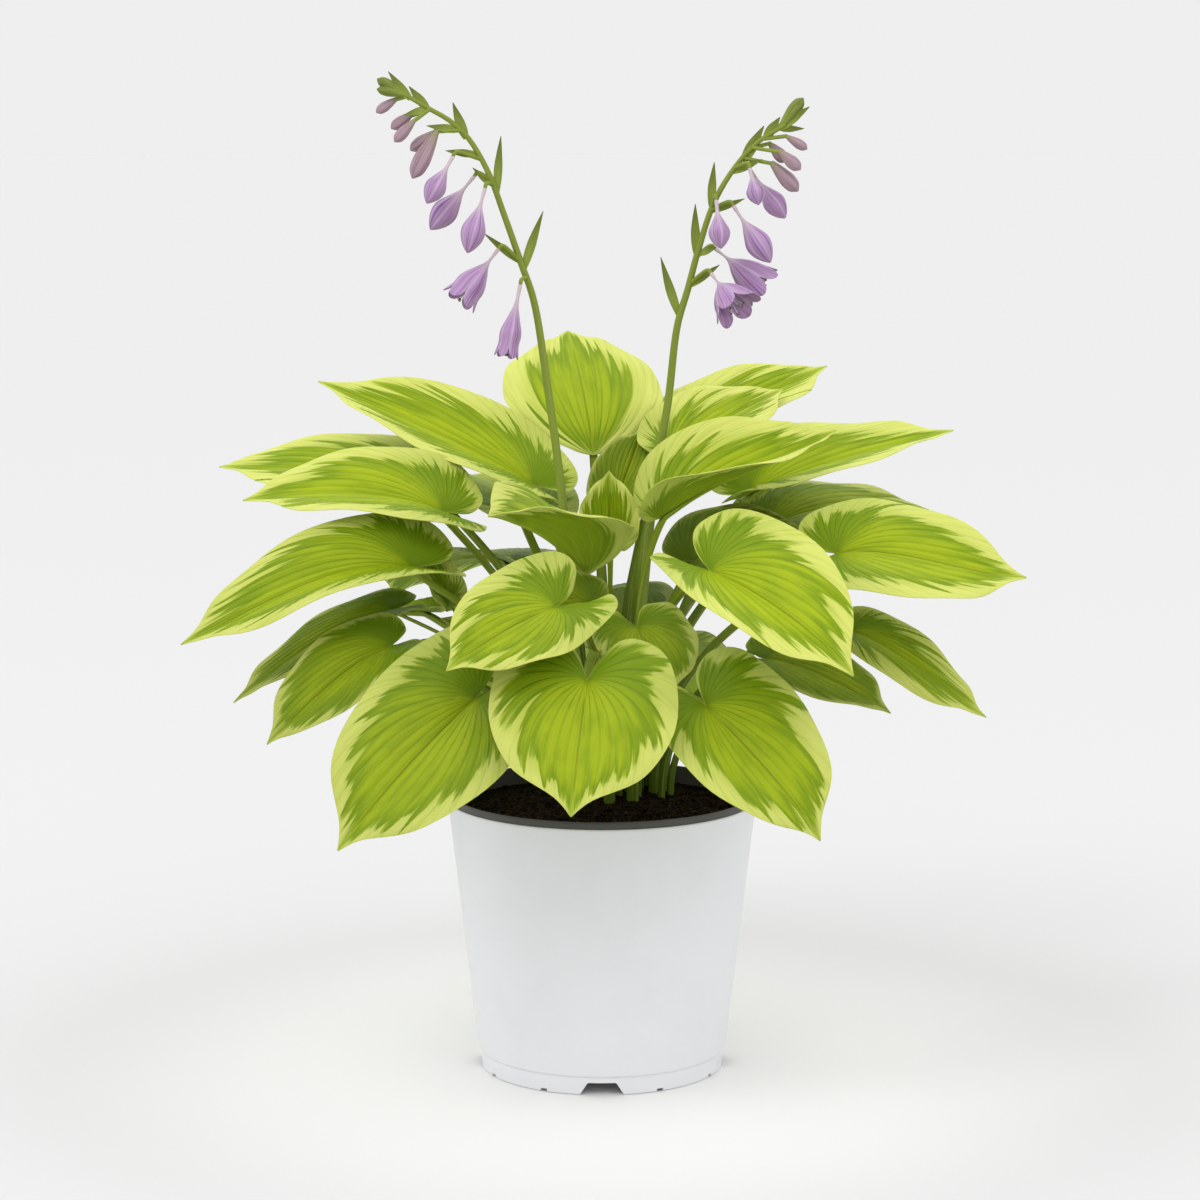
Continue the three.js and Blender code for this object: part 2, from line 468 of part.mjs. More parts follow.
// A flower stem: the stem's path from the soil up, then the bracts, short stalks and young buds on it.
const STEMS = [
  {
    name: 'flower_stem_left',
    root: [9, 190],
    path: [
      [-20, 22, 300], [-28, 22, 403], [-39, 18, 489], [-48, 14, 546], [-57, 10, 573], [-68, 6, 605],
      [-79, 2, 635], [-93, 0, 659], [-106, -2, 671], [-120, -4, 679], [-137, -6, 689],
    ],
    bracts: [
      [[-120, -4, 678], [-133, -7, 694], 6.5], [[-94, 0, 658], [-103, -4, 683], 7],
      [[-73, 4, 621], [-70, 1, 660], 6], [[-55, 11, 567], [-41, 8, 608], 6.5],
      [[-56, 10, 572], [-82, -2, 593], 5.5], [[-76, 3, 626], [-90, 8, 638], 5],
      [[-86, 1, 647], [-108, -10, 650], 5.5], [[-98, -1, 664], [-121, -8, 667], 6],
      [[-120, -4, 679], [-137, -12, 674], 5], [[-132, -6, 685], [-147, -10, 704], 6],
    ],
    stalks: [
      [[-98, -1, 664], [-116, -4, 663], 1.5],
      [[-118, -4, 679], [-131, -2, 674], 1.4], [[-118, -4, 679], [-130, -9, 670], 1.4],
      [[-134, -6, 687], [-142, -3, 685], 1.4],
    ],
    buds: [
      [[-141, -3, 686], [-156, -4, 676], 7], [[-130, -2, 676], [-146, -1, 665], 8],
      [[-129, -9, 671], [-143, -12, 656], 8], [[-114, -3, 663.5], [-133, 4, 650], 9],
      [[-114, -4, 664], [-131, -9, 631], 12], [[-135, -6, 688], [-155, -5, 699], 8],
      [[-135, -6, 688], [-155, -9, 692], 7],
    ],
  },
  {
    name: 'flower_stem_right',
    root: [9, 0],
    path: [
      [26, 24, 300], [38, 30, 417], [47, 26, 475], [53, 16, 528], [60, 13, 553], [67, 10, 580],
      [78, 6, 614], [92, 3, 638], [107, 0, 655], [127, -4, 668],
    ],
    bracts: [
      [[54, 16, 535], [41, 12, 576], 6.5], [[66, 11, 577], [65, 8, 613], 6.5], [[76, 7, 611], [78, 4, 642], 6],
      [[98, 2, 642], [112, -2, 667], 8], [[77, 6.4, 608], [99, -4, 617], 5], [[62, 12, 556], [82, 2, 571], 5.5],
      [[91, 3, 635], [111, -4, 644], 5.5], [[113, -1, 658], [123, -4, 673], 7], [[122, -3, 665], [143, -8, 680], 7],
      [[122, -3, 665], [140, 2, 665], 5], [[67, 10, 578], [80, 4, 583], 5],
    ],
    stalks: [
      [[104, 0, 652], [117, 4, 655], 1.4], [[104, 0, 652], [123, -8, 649], 1.4],
      [[97, 2, 645], [118, -2, 641], 1.4], [[112, -1, 658], [128, -3, 660], 1.4],
    ],
    buds: [
      [[127, -3, 660], [142, -3, 651], 7], [[116, 4, 655], [128, 7, 642], 9], [[122, -8, 650], [137, -11, 637], 9],
      [[117, -2, 642], [136, -2, 622], 11], [[123, -3, 666], [139, -2, 686], 9],
    ],
  },
];

// Flowers: name, stem, where the flower's stalk leaves the stem, base, tip, width, and how far its mouth has
// opened, from 0 to 1.
const FLOWERS = [
  ['flower_left_1', 'flower_stem_left', [-84, 1.4, 644], [-103, -8, 646], [-121, -14, 614], 15, 0],
  ['flower_left_2', 'flower_stem_left', [-77, 2.8, 630], [-89, 9, 632], [-120, 13, 595], 18, 0],
  ['flower_left_3', 'flower_stem_left', [-76, 3, 627], [-81, -8, 624], [-93, -16, 580], 17, 0],
  ['flower_left_4', 'flower_stem_left', [-57, 10, 573], [-72, -1, 582], [-100, -9, 546], 24, 0.85],
  ['flower_left_5', 'flower_stem_left', [-53, 11.4, 562], [-57, 1, 557], [-67, -6, 507], 17, 0.7],
  ['flower_right_1', 'flower_stem_right', [92, 3, 638], [102, -8, 638], [108, -14, 613], 13, 0],
  ['flower_right_2', 'flower_stem_right', [91, 3, 636], [104, 9, 635], [128, 12, 603], 16, 0],
  ['flower_right_3', 'flower_stem_right', [77, 6.3, 611], [79, -8, 616], [82, -17, 583], 15, 0],
  ['flower_right_4', 'flower_stem_right', [76, 6.6, 609], [91, -3, 612], [117, -6, 573], 18, 0],
  ['flower_right_5', 'flower_stem_right', [66, 10.4, 576], [79, 10, 582], [114, 14, 554], 27, 1],
  ['flower_right_6', 'flower_stem_right', [61, 12.6, 557], [76, 0, 565], [95, -17, 540], 30, 1],
];

// A round rod through points, without a twist from one ring to the next.
function rodThrough(points, radii, sides) {
  const last = points.length - 1;
  let up = vec(0.3, -1, 0.2);
  return solid(loft(points.map((point, i) => {
    const along = points[Math.min(i + 1, last)].clone().sub(points[Math.max(i - 1, 0)]).normalize();
    up = up.clone().addScaledVector(along, -up.dot(along)).normalize();
    return ringAt(point, along, up, roundSection(radii[i], sides));
  })));
}

// The bent stalk of a flower, ending square to the flower's own line.
function flowerStalk([, , from, base, tip]) {
  const seat = vec(...base);
  const line = vec(...tip).sub(seat).normalize();
  const elbow = seat.clone().addScaledVector(line, -3.4);
  const end = seat.clone().addScaledVector(line, -FIT_GAP);
  return rodThrough([vec(...from), elbow, end], [1.5, 1.5, 1.4], 5);
}

function buildStem({ name, root, path, bracts, stalks, buds }) {
  const { root: foot } = crownSpot(root);
  const curve = new THREE.CatmullRomCurve3([
    ...[1 - ROOT_DEPTH, 0, 16].map((rise) => foot.clone().setZ(foot.z + rise)), ...path.map((p) => vec(...p)),
  ]);
  const points = curve.getSpacedPoints(14);
  const radii = points.map((_, i) => lerp(...STEM_RADIUS, (i / 14) ** 2));
  let body = rodThrough(points, radii, 5);
  for (const [base, tip, width] of bracts) body = body.add(bract(vec(...base), vec(...tip), width));
  for (const [base, tip, radius] of stalks) body = body.add(rod(vec(...base), vec(...tip), radius));
  for (const [base, tip, width] of buds) body = body.add(bud(vec(...base), vec(...tip), width));
  for (const flower of FLOWERS.filter(([, stem]) => stem === name)) body = body.add(flowerStalk(flower));
  addPiece(name, body, colours.stem);
}

// A closed flower is a slim tube that swells and comes to a point; an open one is a hollow bell with six lobes.
function buildFlower([name, , , base, tip, width, mouth]) {
  const start = vec(...base);
  const end = vec(...tip);
  const w = width / 2;
  if (mouth === 0) {
    const stations = [[0, 1.4], [0.28, 1.7], [0.45, 0.6 * w], [0.66, w], [0.86, 0.72 * w], [1, 0.12 * w]];
    addPiece(name, spindle(start, end, stations, 6), colours.flower);
    return;
  }
  const along = end.clone().sub(start);
  const sides = 12;
  const wall = 0.9;
  const bulge = lerp(1, 0.84, mouth) * w;
  const lip = lerp(0.35, 1, mouth) * 0.92 * w;
  const cut = 0.16 * mouth ** 2;
  const station = (u, radius, reach = 0, flare = 0) => {
    const spread = roundSection(1, sides).map(([x, y], i) => {
      const lobe = i % 2 ? 0 : 1;
      return { x, y, r: radius + flare * lobe, u: u + reach * lobe };
    });
    return spread.map(({ x, y, r, u: place }) => ringAt(
      start.clone().addScaledVector(along, place), along, vec(0.2, -1, 0.3), [[x * r, y * r]])[0]);
  };
  const rings = [
    station(0, 1.4), station(0.28, 1.7), station(0.45, 0.5 * w), station(0.66, bulge),
    station(1 - cut, lip, cut, 0.14 * w), station(1 - cut, lip - wall, cut, 0.14 * w),
    station(0.66, bulge - wall), station(0.48, 0.4 * w),
  ];
  addPiece(name, solid(loft(rings)), colours.flower);
}

LEAVES.forEach(buildLeaf);
STEMS.forEach(buildStem);
FLOWERS.forEach(buildFlower);
const standing = [
  ...LEAVES.map(([, spot, , , , width]) => [spot, ...STALK.root.map((size) => size * girthOf(width))]),
  ...STEMS.map(({ root }) => [root, 2 * STEM_RADIUS[0], 2 * STEM_RADIUS[0]]),
];
addPiece('pot_white_layer', whiteLayer(), colours.white);
addPiece('pot_black_layer', blackLayer(), colours.black);
addPiece('soil', soilBody(standing), colours.soil);

export default part;
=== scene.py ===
"""Dresses a variegated hosta in flower that stands in a round two-layer nursery pot.

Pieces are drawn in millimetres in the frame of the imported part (+Z up, front towards -Y, ground at 0)
and turned into metres once, when a Draft becomes an object.
"""

import logging
import math
from collections.abc import Mapping, Sequence
from dataclasses import dataclass, field
from enum import Enum

import bpy
import numpy as np
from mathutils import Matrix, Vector, noise

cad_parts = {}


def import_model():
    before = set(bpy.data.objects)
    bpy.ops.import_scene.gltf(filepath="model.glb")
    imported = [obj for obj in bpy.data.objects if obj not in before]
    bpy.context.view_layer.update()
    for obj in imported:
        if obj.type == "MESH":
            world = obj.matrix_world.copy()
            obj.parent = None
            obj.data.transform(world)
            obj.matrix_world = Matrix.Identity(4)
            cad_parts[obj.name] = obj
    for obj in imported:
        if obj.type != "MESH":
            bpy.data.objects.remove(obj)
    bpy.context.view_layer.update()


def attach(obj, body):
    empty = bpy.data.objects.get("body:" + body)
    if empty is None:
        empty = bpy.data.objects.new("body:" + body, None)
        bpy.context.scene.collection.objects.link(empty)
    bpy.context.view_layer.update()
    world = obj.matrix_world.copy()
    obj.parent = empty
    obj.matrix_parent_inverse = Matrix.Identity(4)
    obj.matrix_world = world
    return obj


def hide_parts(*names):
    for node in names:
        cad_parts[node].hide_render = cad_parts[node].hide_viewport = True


Triple = tuple[float, float, float]
Pair = tuple[float, float]
Tone = tuple[float, float, float, float]
Socket = bpy.types.NodeSocket

MILLIMETRE = 0.001
BODY = "root"
MOULDED_EDGE = 40.0  # degrees from which an edge of the pot stays sharp
ROOT_DEPTH = 14.0  # how deep stalks and stems stand in the soil
VEIN_PAIRS = 7
RIB_PAIRS = 24  # finer ribs between the veins
WAVE_TURN = 9.0  # how far the margin's waves turn from the stalk to the tip, in radians
RIPPLE_TURN = 29.0  # the same for its fine ripple
LOG = logging.getLogger("hosta")


class Slot(Enum):
    """The record's material slots."""

    WHITE_PLASTIC = "white_plastic"
    BLACK_PLASTIC = "black_plastic"
    POTTING_MIX = "potting_mix"
    LEAF = "leaf_green"
    STEM = "stem_green"
    PETAL = "petal_lavender"


def tone(red: int, green: int, blue: int) -> Tone:
    """Turns a screen colour, with parts from 0 to 255, into the linear colour that shaders use."""
    parts = [c / 255 / 12.92 if c < 11 else ((c / 255 + 0.055) / 1.055) ** 2.4 for c in (red, green, blue)]
    return (*parts, 1.0)


def unit(vectors: np.ndarray) -> np.ndarray:
    """Scales vectors to length one."""
    return vectors / np.maximum(np.linalg.norm(vectors, axis=-1, keepdims=True), 1e-9)


def ease(value: np.ndarray, low: float, high: float) -> np.ndarray:
    """Rises smoothly from 0 at low to 1 at high."""
    share = np.clip((value - low) / (high - low), 0.0, 1.0)
    return share * share * (3 - 2 * share)


def through(knots: Sequence[float], values: Sequence[float], at: np.ndarray) -> np.ndarray:
    """Runs a smooth line through values at rising knots.

    Args:
        knots: Where the values are.
        values: The values.
        at: Where the line is wanted.

    Returns:
        The line's height at each place.
    """
    place = np.asarray(knots, float)
    height = np.asarray(values, float)
    slope = np.gradient(height, place)
    i = np.clip(np.searchsorted(place, at) - 1, 0, len(place) - 2)
    width = place[i + 1] - place[i]
    s = np.clip((at - place[i]) / width, 0.0, 1.0)
    start = (2 * s**3 - 3 * s**2 + 1) * height[i] + (s**3 - 2 * s**2 + s) * width * slope[i]
    return start + (3 * s**2 - 2 * s**3) * height[i + 1] + (s**3 - s**2) * width * slope[i + 1]


def bezier(corners: Sequence[np.ndarray], u: float | np.ndarray) -> tuple[np.ndarray, np.ndarray]:
    """Follows a cubic Bezier curve.

    Args:
        corners: Its four control points.
        u: Places along it, from 0 to 1.

    Returns:
        The point and the unit direction at each place.
    """
    s = np.asarray(u, float)[..., None]
    a, b, c, d = corners
    points = (1 - s) ** 3 * a + 3 * (1 - s) ** 2 * s * b + 3 * (1 - s) * s**2 * c + s**3 * d
    return points, unit((1 - s) ** 2 * (b - a) + 2 * (1 - s) * s * (c - b) + s**2 * (d - c))


def set_rings(path: np.ndarray, ways: np.ndarray, ups: np.ndarray, sections: np.ndarray) -> np.ndarray:
    """Sets sections square to a path.

    Args:
        path: Points along the path, n by 3.
        ways: The path's direction at each point.
        ups: A vector on the up side of each section.
        sections: For each point its section, n by k by 2, as across and up.

    Returns:
        The rings, n by k by 3.
    """
    along = unit(ways)
    upright = unit(ups - along * np.sum(ups * along, axis=-1, keepdims=True))
    across = np.cross(along, upright)
    return path[:, None] - across[:, None] * sections[..., :1] + upright[:, None] * sections[..., 1:]


def carried_rings(path: np.ndarray, sections: np.ndarray, up: Triple = (0.3, -1.0, 0.2)) -> np.ndarray:
    """Sets sections square to a path and carries their up side along it without a twist.

    Args:
        path: Points along the path, n by 3.
        sections: For each point its section, n by k by 2.
        up: The up side of the first section.

    Returns:
        The rings, n by k by 3.
    """
    ways = unit(np.gradient(path, axis=0))
    ups = []
    side = np.asarray(up, float)
    for way in ways:
        side = unit(side - way * side.dot(way))
        ups.append(side)
    return set_rings(path, ways, np.array(ups), sections)


def turns(sides: int) -> np.ndarray:
    """Gives even angles around a full turn."""
    return np.linspace(0, 2 * math.pi, sides, endpoint=False)


def circle(sides: int) -> np.ndarray:
    """Gives even points on a circle of radius 1."""
    return np.stack([np.cos(turns(sides)), np.sin(turns(sides))], -1)


def round_sections(radii: Sequence[float], sides: int) -> np.ndarray:
    """Gives a round section for each radius."""
    return np.asarray(radii, float)[:, None, None] * circle(sides)


def flowing_line(corners: np.ndarray, count: int) -> np.ndarray:
    """Runs an even smooth line through points, without overshoot where they lie unevenly.

    Args:
        corners: The points, at least two.
        count: How many points the line gets.

    Returns:
        Evenly spaced points on the line.
    """
    padded = np.vstack([2 * corners[0] - corners[1], corners, 2 * corners[-1] - corners[-2]])
    pieces = []
    for p0, p1, p2, p3 in zip(padded, padded[1:], padded[2:], padded[3:]):
        d0, d1, d2 = (max(np.linalg.norm(b - a) ** 0.5, 1e-4) for a, b in ((p0, p1), (p1, p2), (p2, p3)))
        t1 = ((p1 - p0) / d0 - (p2 - p0) / (d0 + d1) + (p2 - p1) / d1) * d1
        t2 = ((p2 - p1) / d1 - (p3 - p1) / (d1 + d2) + (p3 - p2) / d2) * d1
        s = np.linspace(0, 1, 24, endpoint=False)[:, None]
        pieces.append((2 * s**3 - 3 * s**2 + 1) * p1 + (s**3 - 2 * s**2 + s) * t1
                      + (3 * s**2 - 2 * s**3) * p2 + (s**3 - s**2) * t2)
    dense = np.vstack([*pieces, corners[-1:]])
    length = np.concatenate([[0.0], np.cumsum(np.linalg.norm(np.diff(dense, axis=0), axis=1))])
    even = np.linspace(0, length[-1], count)
    return np.stack([np.interp(even, length, dense[:, k]) for k in range(3)], -1)


def smooth(mesh: bpy.types.Mesh, sharp: float) -> None:
    """Shades a mesh smoothly, up to edges of an angle in degrees."""
    mesh.shade_smooth()
    mesh.set_sharp_from_angle(angle=math.radians(sharp))


@dataclass
class Draft:
    """One piece on the drawing board: closed bodies with finishes and named surface numbers.

    Attributes:
        name: The piece's name.
        points: Points in millimetres, body by body.
        faces: Faces as lists of point numbers.
        finishes: The number of the finish of each face.
        numbers: Named numbers for each point, body by body.
        count: How many points there are so far.
    """

    name: str
    points: list[np.ndarray] = field(default_factory=list)
    faces: list[list[int]] = field(default_factory=list)
    finishes: list[int] = field(default_factory=list)
    numbers: dict[str, list[np.ndarray]] = field(default_factory=dict)
    count: int = 0

    def tube(self, rings: np.ndarray, finish: int | np.ndarray = 0, **numbers: object) -> None:
        """Adds a closed body through rings, with a flat cap on each end and all faces outwards.

        Args:
            rings: The rings, n by k by 3.
            finish: The finish of its faces, or one for each place in a ring; the caps take the first.
            **numbers: Named numbers, or arrays that spread to n by k.
        """
        n, k = rings.shape[:2]
        row = np.arange(n - 1)[:, None] * k
        i = np.arange(k)
        j = (i + 1) % k
        quads = np.stack([row + i, row + j, row + k + j, row + k + i], -1).reshape(-1, 4).tolist()
        faces = [*quads, list(range(k))[::-1], list(range((n - 1) * k, n * k))]
        points = rings.reshape(-1, 3)
        corners = np.array([(f[0], f[i], f[i + 1]) for f in faces for i in range(1, len(f) - 1)])
        a, b, c = (points[corners[:, side]] - points[0] for side in range(3))
        if np.sum(a * np.cross(b, c)) < 0:
            faces = [f[::-1] for f in faces]
        self.faces += [[i + self.count for i in f] for f in faces]
        walls = np.broadcast_to(finish, (n - 1, k)).ravel().tolist()
        self.finishes += walls + walls[:1] * 2
        for name in {**self.numbers, **numbers}:
            rows = self.numbers.setdefault(name, [np.zeros(self.count)])
            rows.append(np.broadcast_to(np.asarray(numbers.get(name, 0.0), float), (n, k)).ravel())
        self.points.append(points)
        self.count += len(points)

    def build(self, finishes: Sequence[bpy.types.Material], sharp: float = 45.0) -> bpy.types.Object:
        """Turns the draft into an object.

        Args:
            finishes: The materials that the faces' numbers stand for.
            sharp: The angle in degrees from which an edge stays sharp.

        Returns:
            The new object, in metres.
        """
        mesh = bpy.data.meshes.new(self.name)
        mesh.from_pydata((np.vstack(self.points) * MILLIMETRE).tolist(), [], self.faces)
        for material in finishes:
            mesh.materials.append(material)
        mesh.polygons.foreach_set("material_index", np.array(self.finishes, np.int32))
        for name, rows in self.numbers.items():
            attribute = mesh.attributes.new(name, "FLOAT", "POINT")
            attribute.data.foreach_set("value", np.concatenate(rows).astype(np.float32))
        smooth(mesh, sharp)
        mesh.validate()
        piece = bpy.data.objects.new(self.name, mesh)
        bpy.context.scene.collection.objects.link(piece)
        return piece


def settle(piece: bpy.types.Object, node: str) -> None:
    """Puts a finished piece on the part in place of its plain node.

    Args:
        piece: The piece.
        node: The node that it stands for.
    """
    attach(piece, BODY)
    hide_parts(node)
    LOG.info("%s: %d faces", piece.name, len(piece.data.polygons))


class Palette:
    """Short calls for drawing the nodes of one material."""

    def __init__(self, name: str) -> None:
        """Starts a material with one main shader.

        Args:
            name: The material's name.
        """
        self.material = bpy.data.materials.new(name)
        self.material.use_nodes = True
        self.tree = self.material.node_tree
        self.shader = self.tree.nodes["Principled BSDF"]

    def plug(self, socket: Socket, value: object) -> None:
        """Links a socket or sets its value.

        Args:
            socket: The socket.
            value: What it is linked to, or its value.
        """
        if isinstance(value, bpy.types.NodeSocket):
            self.tree.links.new(value, socket)
        else:
            socket.default_value = value

    def node(
        self, kind: str, inputs: Mapping[str | int, object], output: str | int = 0, **settings: str
    ) -> Socket:
        """Adds a node.

        Args:
            kind: Its type, without the words that all shader nodes start with.
            inputs: Sockets or values for its inputs.
            output: The output that is wanted.
            **settings: Its settings.

        Returns:
            The output.
        """
        node = self.tree.nodes.new(f"ShaderNode{kind}")
        for name, setting in settings.items():
            setattr(node, name, setting)
        for name, value in inputs.items():
            self.plug(node.inputs[name], value)
        return node.outputs[output]

    def number(self, name: str) -> Socket:
        """Reads one of a draft's named numbers at each place."""
        return self.node("Attribute", {}, "Fac", attribute_name=name)

    def where(self) -> Socket:
        """Gives the place on the object, in metres."""
        return self.node("TexCoord", {}, "Object")

    def distance(self) -> Socket:
        """Gives the distance from the object's middle, in metres."""
        return self.node("VectorMath", {0: self.where()}, "Value", operation="LENGTH")

    def math(self, operation: str, *values: object) -> Socket:
        """Does a sum on sockets or numbers."""
        return self.node("Math", dict(enumerate(values)), operation=operation)

    def place(self, x: object, y: object, z: object) -> Socket:
        """Joins three numbers into a place."""
        return self.node("CombineXYZ", {"X": x, "Y": y, "Z": z})

    def grain(self, place: Socket, scale: float, detail: float = 2.0, rough: float = 0.5) -> Socket:
        """Gives a soft noise from 0 to 1, whose finer layers are as many as detail and as strong as rough."""
        inputs = {"Vector": place, "Scale": scale, "Detail": detail, "Roughness": rough}
        return self.node("TexNoise", inputs, "Fac")

    def spread(
        self, value: Socket, low: object, high: object, start: float = 0.0, end: float = 1.0
    ) -> Socket:
        """Maps low to high smoothly onto start to end, which also hold below low and above high."""
        inputs = {"Value": value, "From Min": low, "From Max": high, "To Min": start, "To Max": end}
        return self.node("MapRange", inputs, interpolation_type="SMOOTHSTEP")

    def blend(self, share: object, first: object, second: object) -> Socket:
        """Mixes two colours by the share of the second."""
        return self.node("Mix", {0: share, 6: first, 7: second}, 2, data_type="RGBA")

    def relief(self, height: Socket, strength: float, depth: float, under: Socket | None = None) -> Socket:
        """Gives a surface fine relief.

        Args:
            height: The height, from 0 to 1.
            strength: How much of it shows.
            depth: The full height, in metres.
            under: A coarser relief below it.

        Returns:
            The normal.
        """
        inputs = {"Strength": strength, "Distance": depth, "Height": height}
        if under is not None:
            inputs["Normal"] = under
        return self.node("Bump", inputs)

    def finish(self, **inputs: object) -> bpy.types.Material:
        """Sets the main shader's sockets.

        Args:
            **inputs: Sockets or values, under the shader's own names with _ for a space.

        Returns:
            The finished material.
        """
        for name, value in inputs.items():
            self.plug(self.shader.inputs[name.replace("_", " ")], value)
        return self.material


@dataclass(frozen=True)
class BladeFinish:
    """The skin of a leaf blade: a green heart, a darker toothed edge to it, and a broad pale margin.

    Attributes:
        name: The material's name.
        heart: The green of the heart.
        deep: The darker green of its edge and its patches, and the painted shade on its lobes beside the
            stalk.
        cream: The margin at the rim.
        lime: The margin toward the heart, and the midrib.
        vein: The side veins.
        dusk: What a leaf in the shade turns to.
        roughness: The least roughness.
    """

    name: str
    heart: Tone
    deep: Tone
    cream: Tone
    lime: Tone
    vein: Tone
    dusk: Tone
    roughness: float

    def material(self) -> bpy.types.Material:
        """Draws the material.

        Returns:
            The finished material.
        """
        p = Palette(self.name)
        flow, along, rim, margin, seed = map(p.number, ("flow", "along", "rim", "margin", "seed"))

        def streaks(pitch: float, stretch: float, detail: float) -> Socket:
            """Gives a noise drawn out along the veins."""
            across = p.math("MULTIPLY_ADD", flow, pitch, seed)
            return p.grain(p.place(across, p.math("MULTIPLY", along, stretch), seed), 1.0, detail)

        # The border of the pale margin runs out in broad teeth and fine spikes.
        teeth = p.math("MULTIPLY_ADD", streaks(7.0, 1.3, 1.0), 54.0, -27.0)
        spikes = p.math("MULTIPLY_ADD", streaks(19.0, 2.2, 1.5), 34.0, -17.0)
        sway = p.math("MULTIPLY", p.math("ADD", teeth, spikes), p.spread(margin, 0.0, 14.0))
        depth = p.math("SUBTRACT", p.math("ADD", rim, sway), margin)
        pale = p.spread(depth, -2.6, 2.0, 1.0, 0.0)

        # The heart has soft patches and a darker edge, the lobes beside the stalk get painted shade, and pale
        # wisps run into it.
        threads = streaks(42.0, 4.0, 2.0)
        edge = p.spread(p.math("MULTIPLY_ADD", threads, 16.0, depth), 8.0, 34.0, 0.8, 0.0)
        spot = p.place(p.math("MULTIPLY", flow, 4.0), p.math("MULTIPLY", along, 3.0), seed)
        patches = p.grain(spot, 1.3, 3.0)
        ground = p.blend(p.spread(patches, 0.42, 0.7, 0.0, 0.4), self.heart, self.deep)
        ground = p.blend(edge, ground, self.deep)
        side = p.math("ABSOLUTE", flow)
        # Painted shade on the lobes beside the stalk, where the stalk and the hollow of the blade shade them.
        lobes = p.math("MULTIPLY", p.spread(side, 0.4, 1.3, 0.0, 0.8), p.spread(along, 0.5, 0.0))
        ground = p.blend(lobes, ground, self.deep)
        wisps = p.spread(streaks(22.0, 2.0, 1.0), 0.5, 0.6)
        veil = p.math("MULTIPLY", p.spread(depth, 1.0, 8.0, 0.6, 0.0), wisps)
        ground = p.blend(veil, ground, self.lime)

        # The margin is lime toward the heart and cream at the rim, with a weaker painted shade on the lobes.
        tinge = p.blend(p.spread(threads, 0.5, 0.72, 0.0, 0.45), self.cream, self.lime)
        tinge = p.blend(p.spread(rim, 8.0, 26.0, 0.0, 0.6), tinge, self.lime)
        skin = p.blend(pale, ground, p.blend(p.math("MULTIPLY", lobes, 0.35), tinge, self.deep))

        # Darker side veins, a pale midrib, and painted shade that darkens leaves deep inside the plant.
        lines = p.math("PINGPONG", p.math("MULTIPLY", side, float(VEIN_PAIRS)), 0.5)
        line = p.math("MULTIPLY", p.spread(lines, 0.0, 0.22, 0.42, 0.0), p.spread(along, 0.75, 0.0, 0.1, 1.0))
        line = p.math("MULTIPLY", line, p.math("MULTIPLY_ADD", pale, -0.75, 1.0))
        skin = p.blend(line, skin, self.vein)
        skin = p.blend(p.spread(side, 0.008, 0.05, 0.7, 0.0), skin, self.lime)
        skin = p.blend(p.number("shade"), skin, self.dusk)

        # Sunken veins, finer ribs between them, and a fine grain.
        cells = p.grain(p.where(), 900.0, 2.0)
        ribs = p.spread(p.math("PINGPONG", p.math("MULTIPLY", side, float(RIB_PAIRS)), 0.5), 0.0, 0.5)
        fold = p.relief(p.math("MULTIPLY_ADD", ribs, 0.3, p.spread(lines, 0.0, 0.16)), 0.4, 0.0007)
        gloss = p.math("MULTIPLY_ADD", patches, 0.12, self.roughness)
        return p.finish(
            Base_Color=skin, Roughness=gloss, Specular_IOR_Level=0.14,
            Subsurface_Weight=0.08, Subsurface_Scale=0.004, Subsurface_Radius=(0.6, 1.0, 0.12),
            Normal=p.relief(cells, 0.12, 0.0003, fold))


@dataclass(frozen=True)
class StalkFinish:
    """The skin of stalks and stems: fine stripes along the length over a green that pales upwards.

    Attributes:
        name: The material's name.
        deep: The green at the foot.
        pale: The green at the top.
        stripe: The stripes.
        roughness: The least roughness.
        stripes: How strong the stripes are.
    """

    name: str
    deep: Tone
    pale: Tone
    stripe: Tone
    roughness: float
    stripes: float = 0.5

    def material(self) -> bpy.types.Material:
        """Draws the material.

        Returns:
            The finished material.
        """
        p = Palette(self.name)
        around, reach, seed = map(p.number, ("around", "reach", "seed"))
        place = p.place(p.math("MULTIPLY_ADD", around, 16.0, seed), p.math("MULTIPLY", reach, 2.2), seed)
        bands = p.grain(place, 1.0, 3.0, 0.65)
        # The colour runs from the foot to the top; on the leaf stalks this is partly painted shade below and
        # painted light above.
        ground = p.blend(p.spread(reach, 0.1, 0.95), self.deep, self.pale)
        skin = p.blend(p.spread(bands, 0.5, 0.68, 0.0, self.stripes), ground, self.stripe)
        mottle = p.grain(p.where(), 160.0, 3.0)
        skin = p.blend(p.spread(mottle, 0.45, 0.8, 0.0, 0.25), skin, self.deep)
        return p.finish(
            Base_Color=skin, Roughness=p.math("MULTIPLY_ADD", mottle, 0.15, self.roughness),
            Specular_IOR_Level=0.2, Normal=p.relief(bands, 0.3, 0.0004))


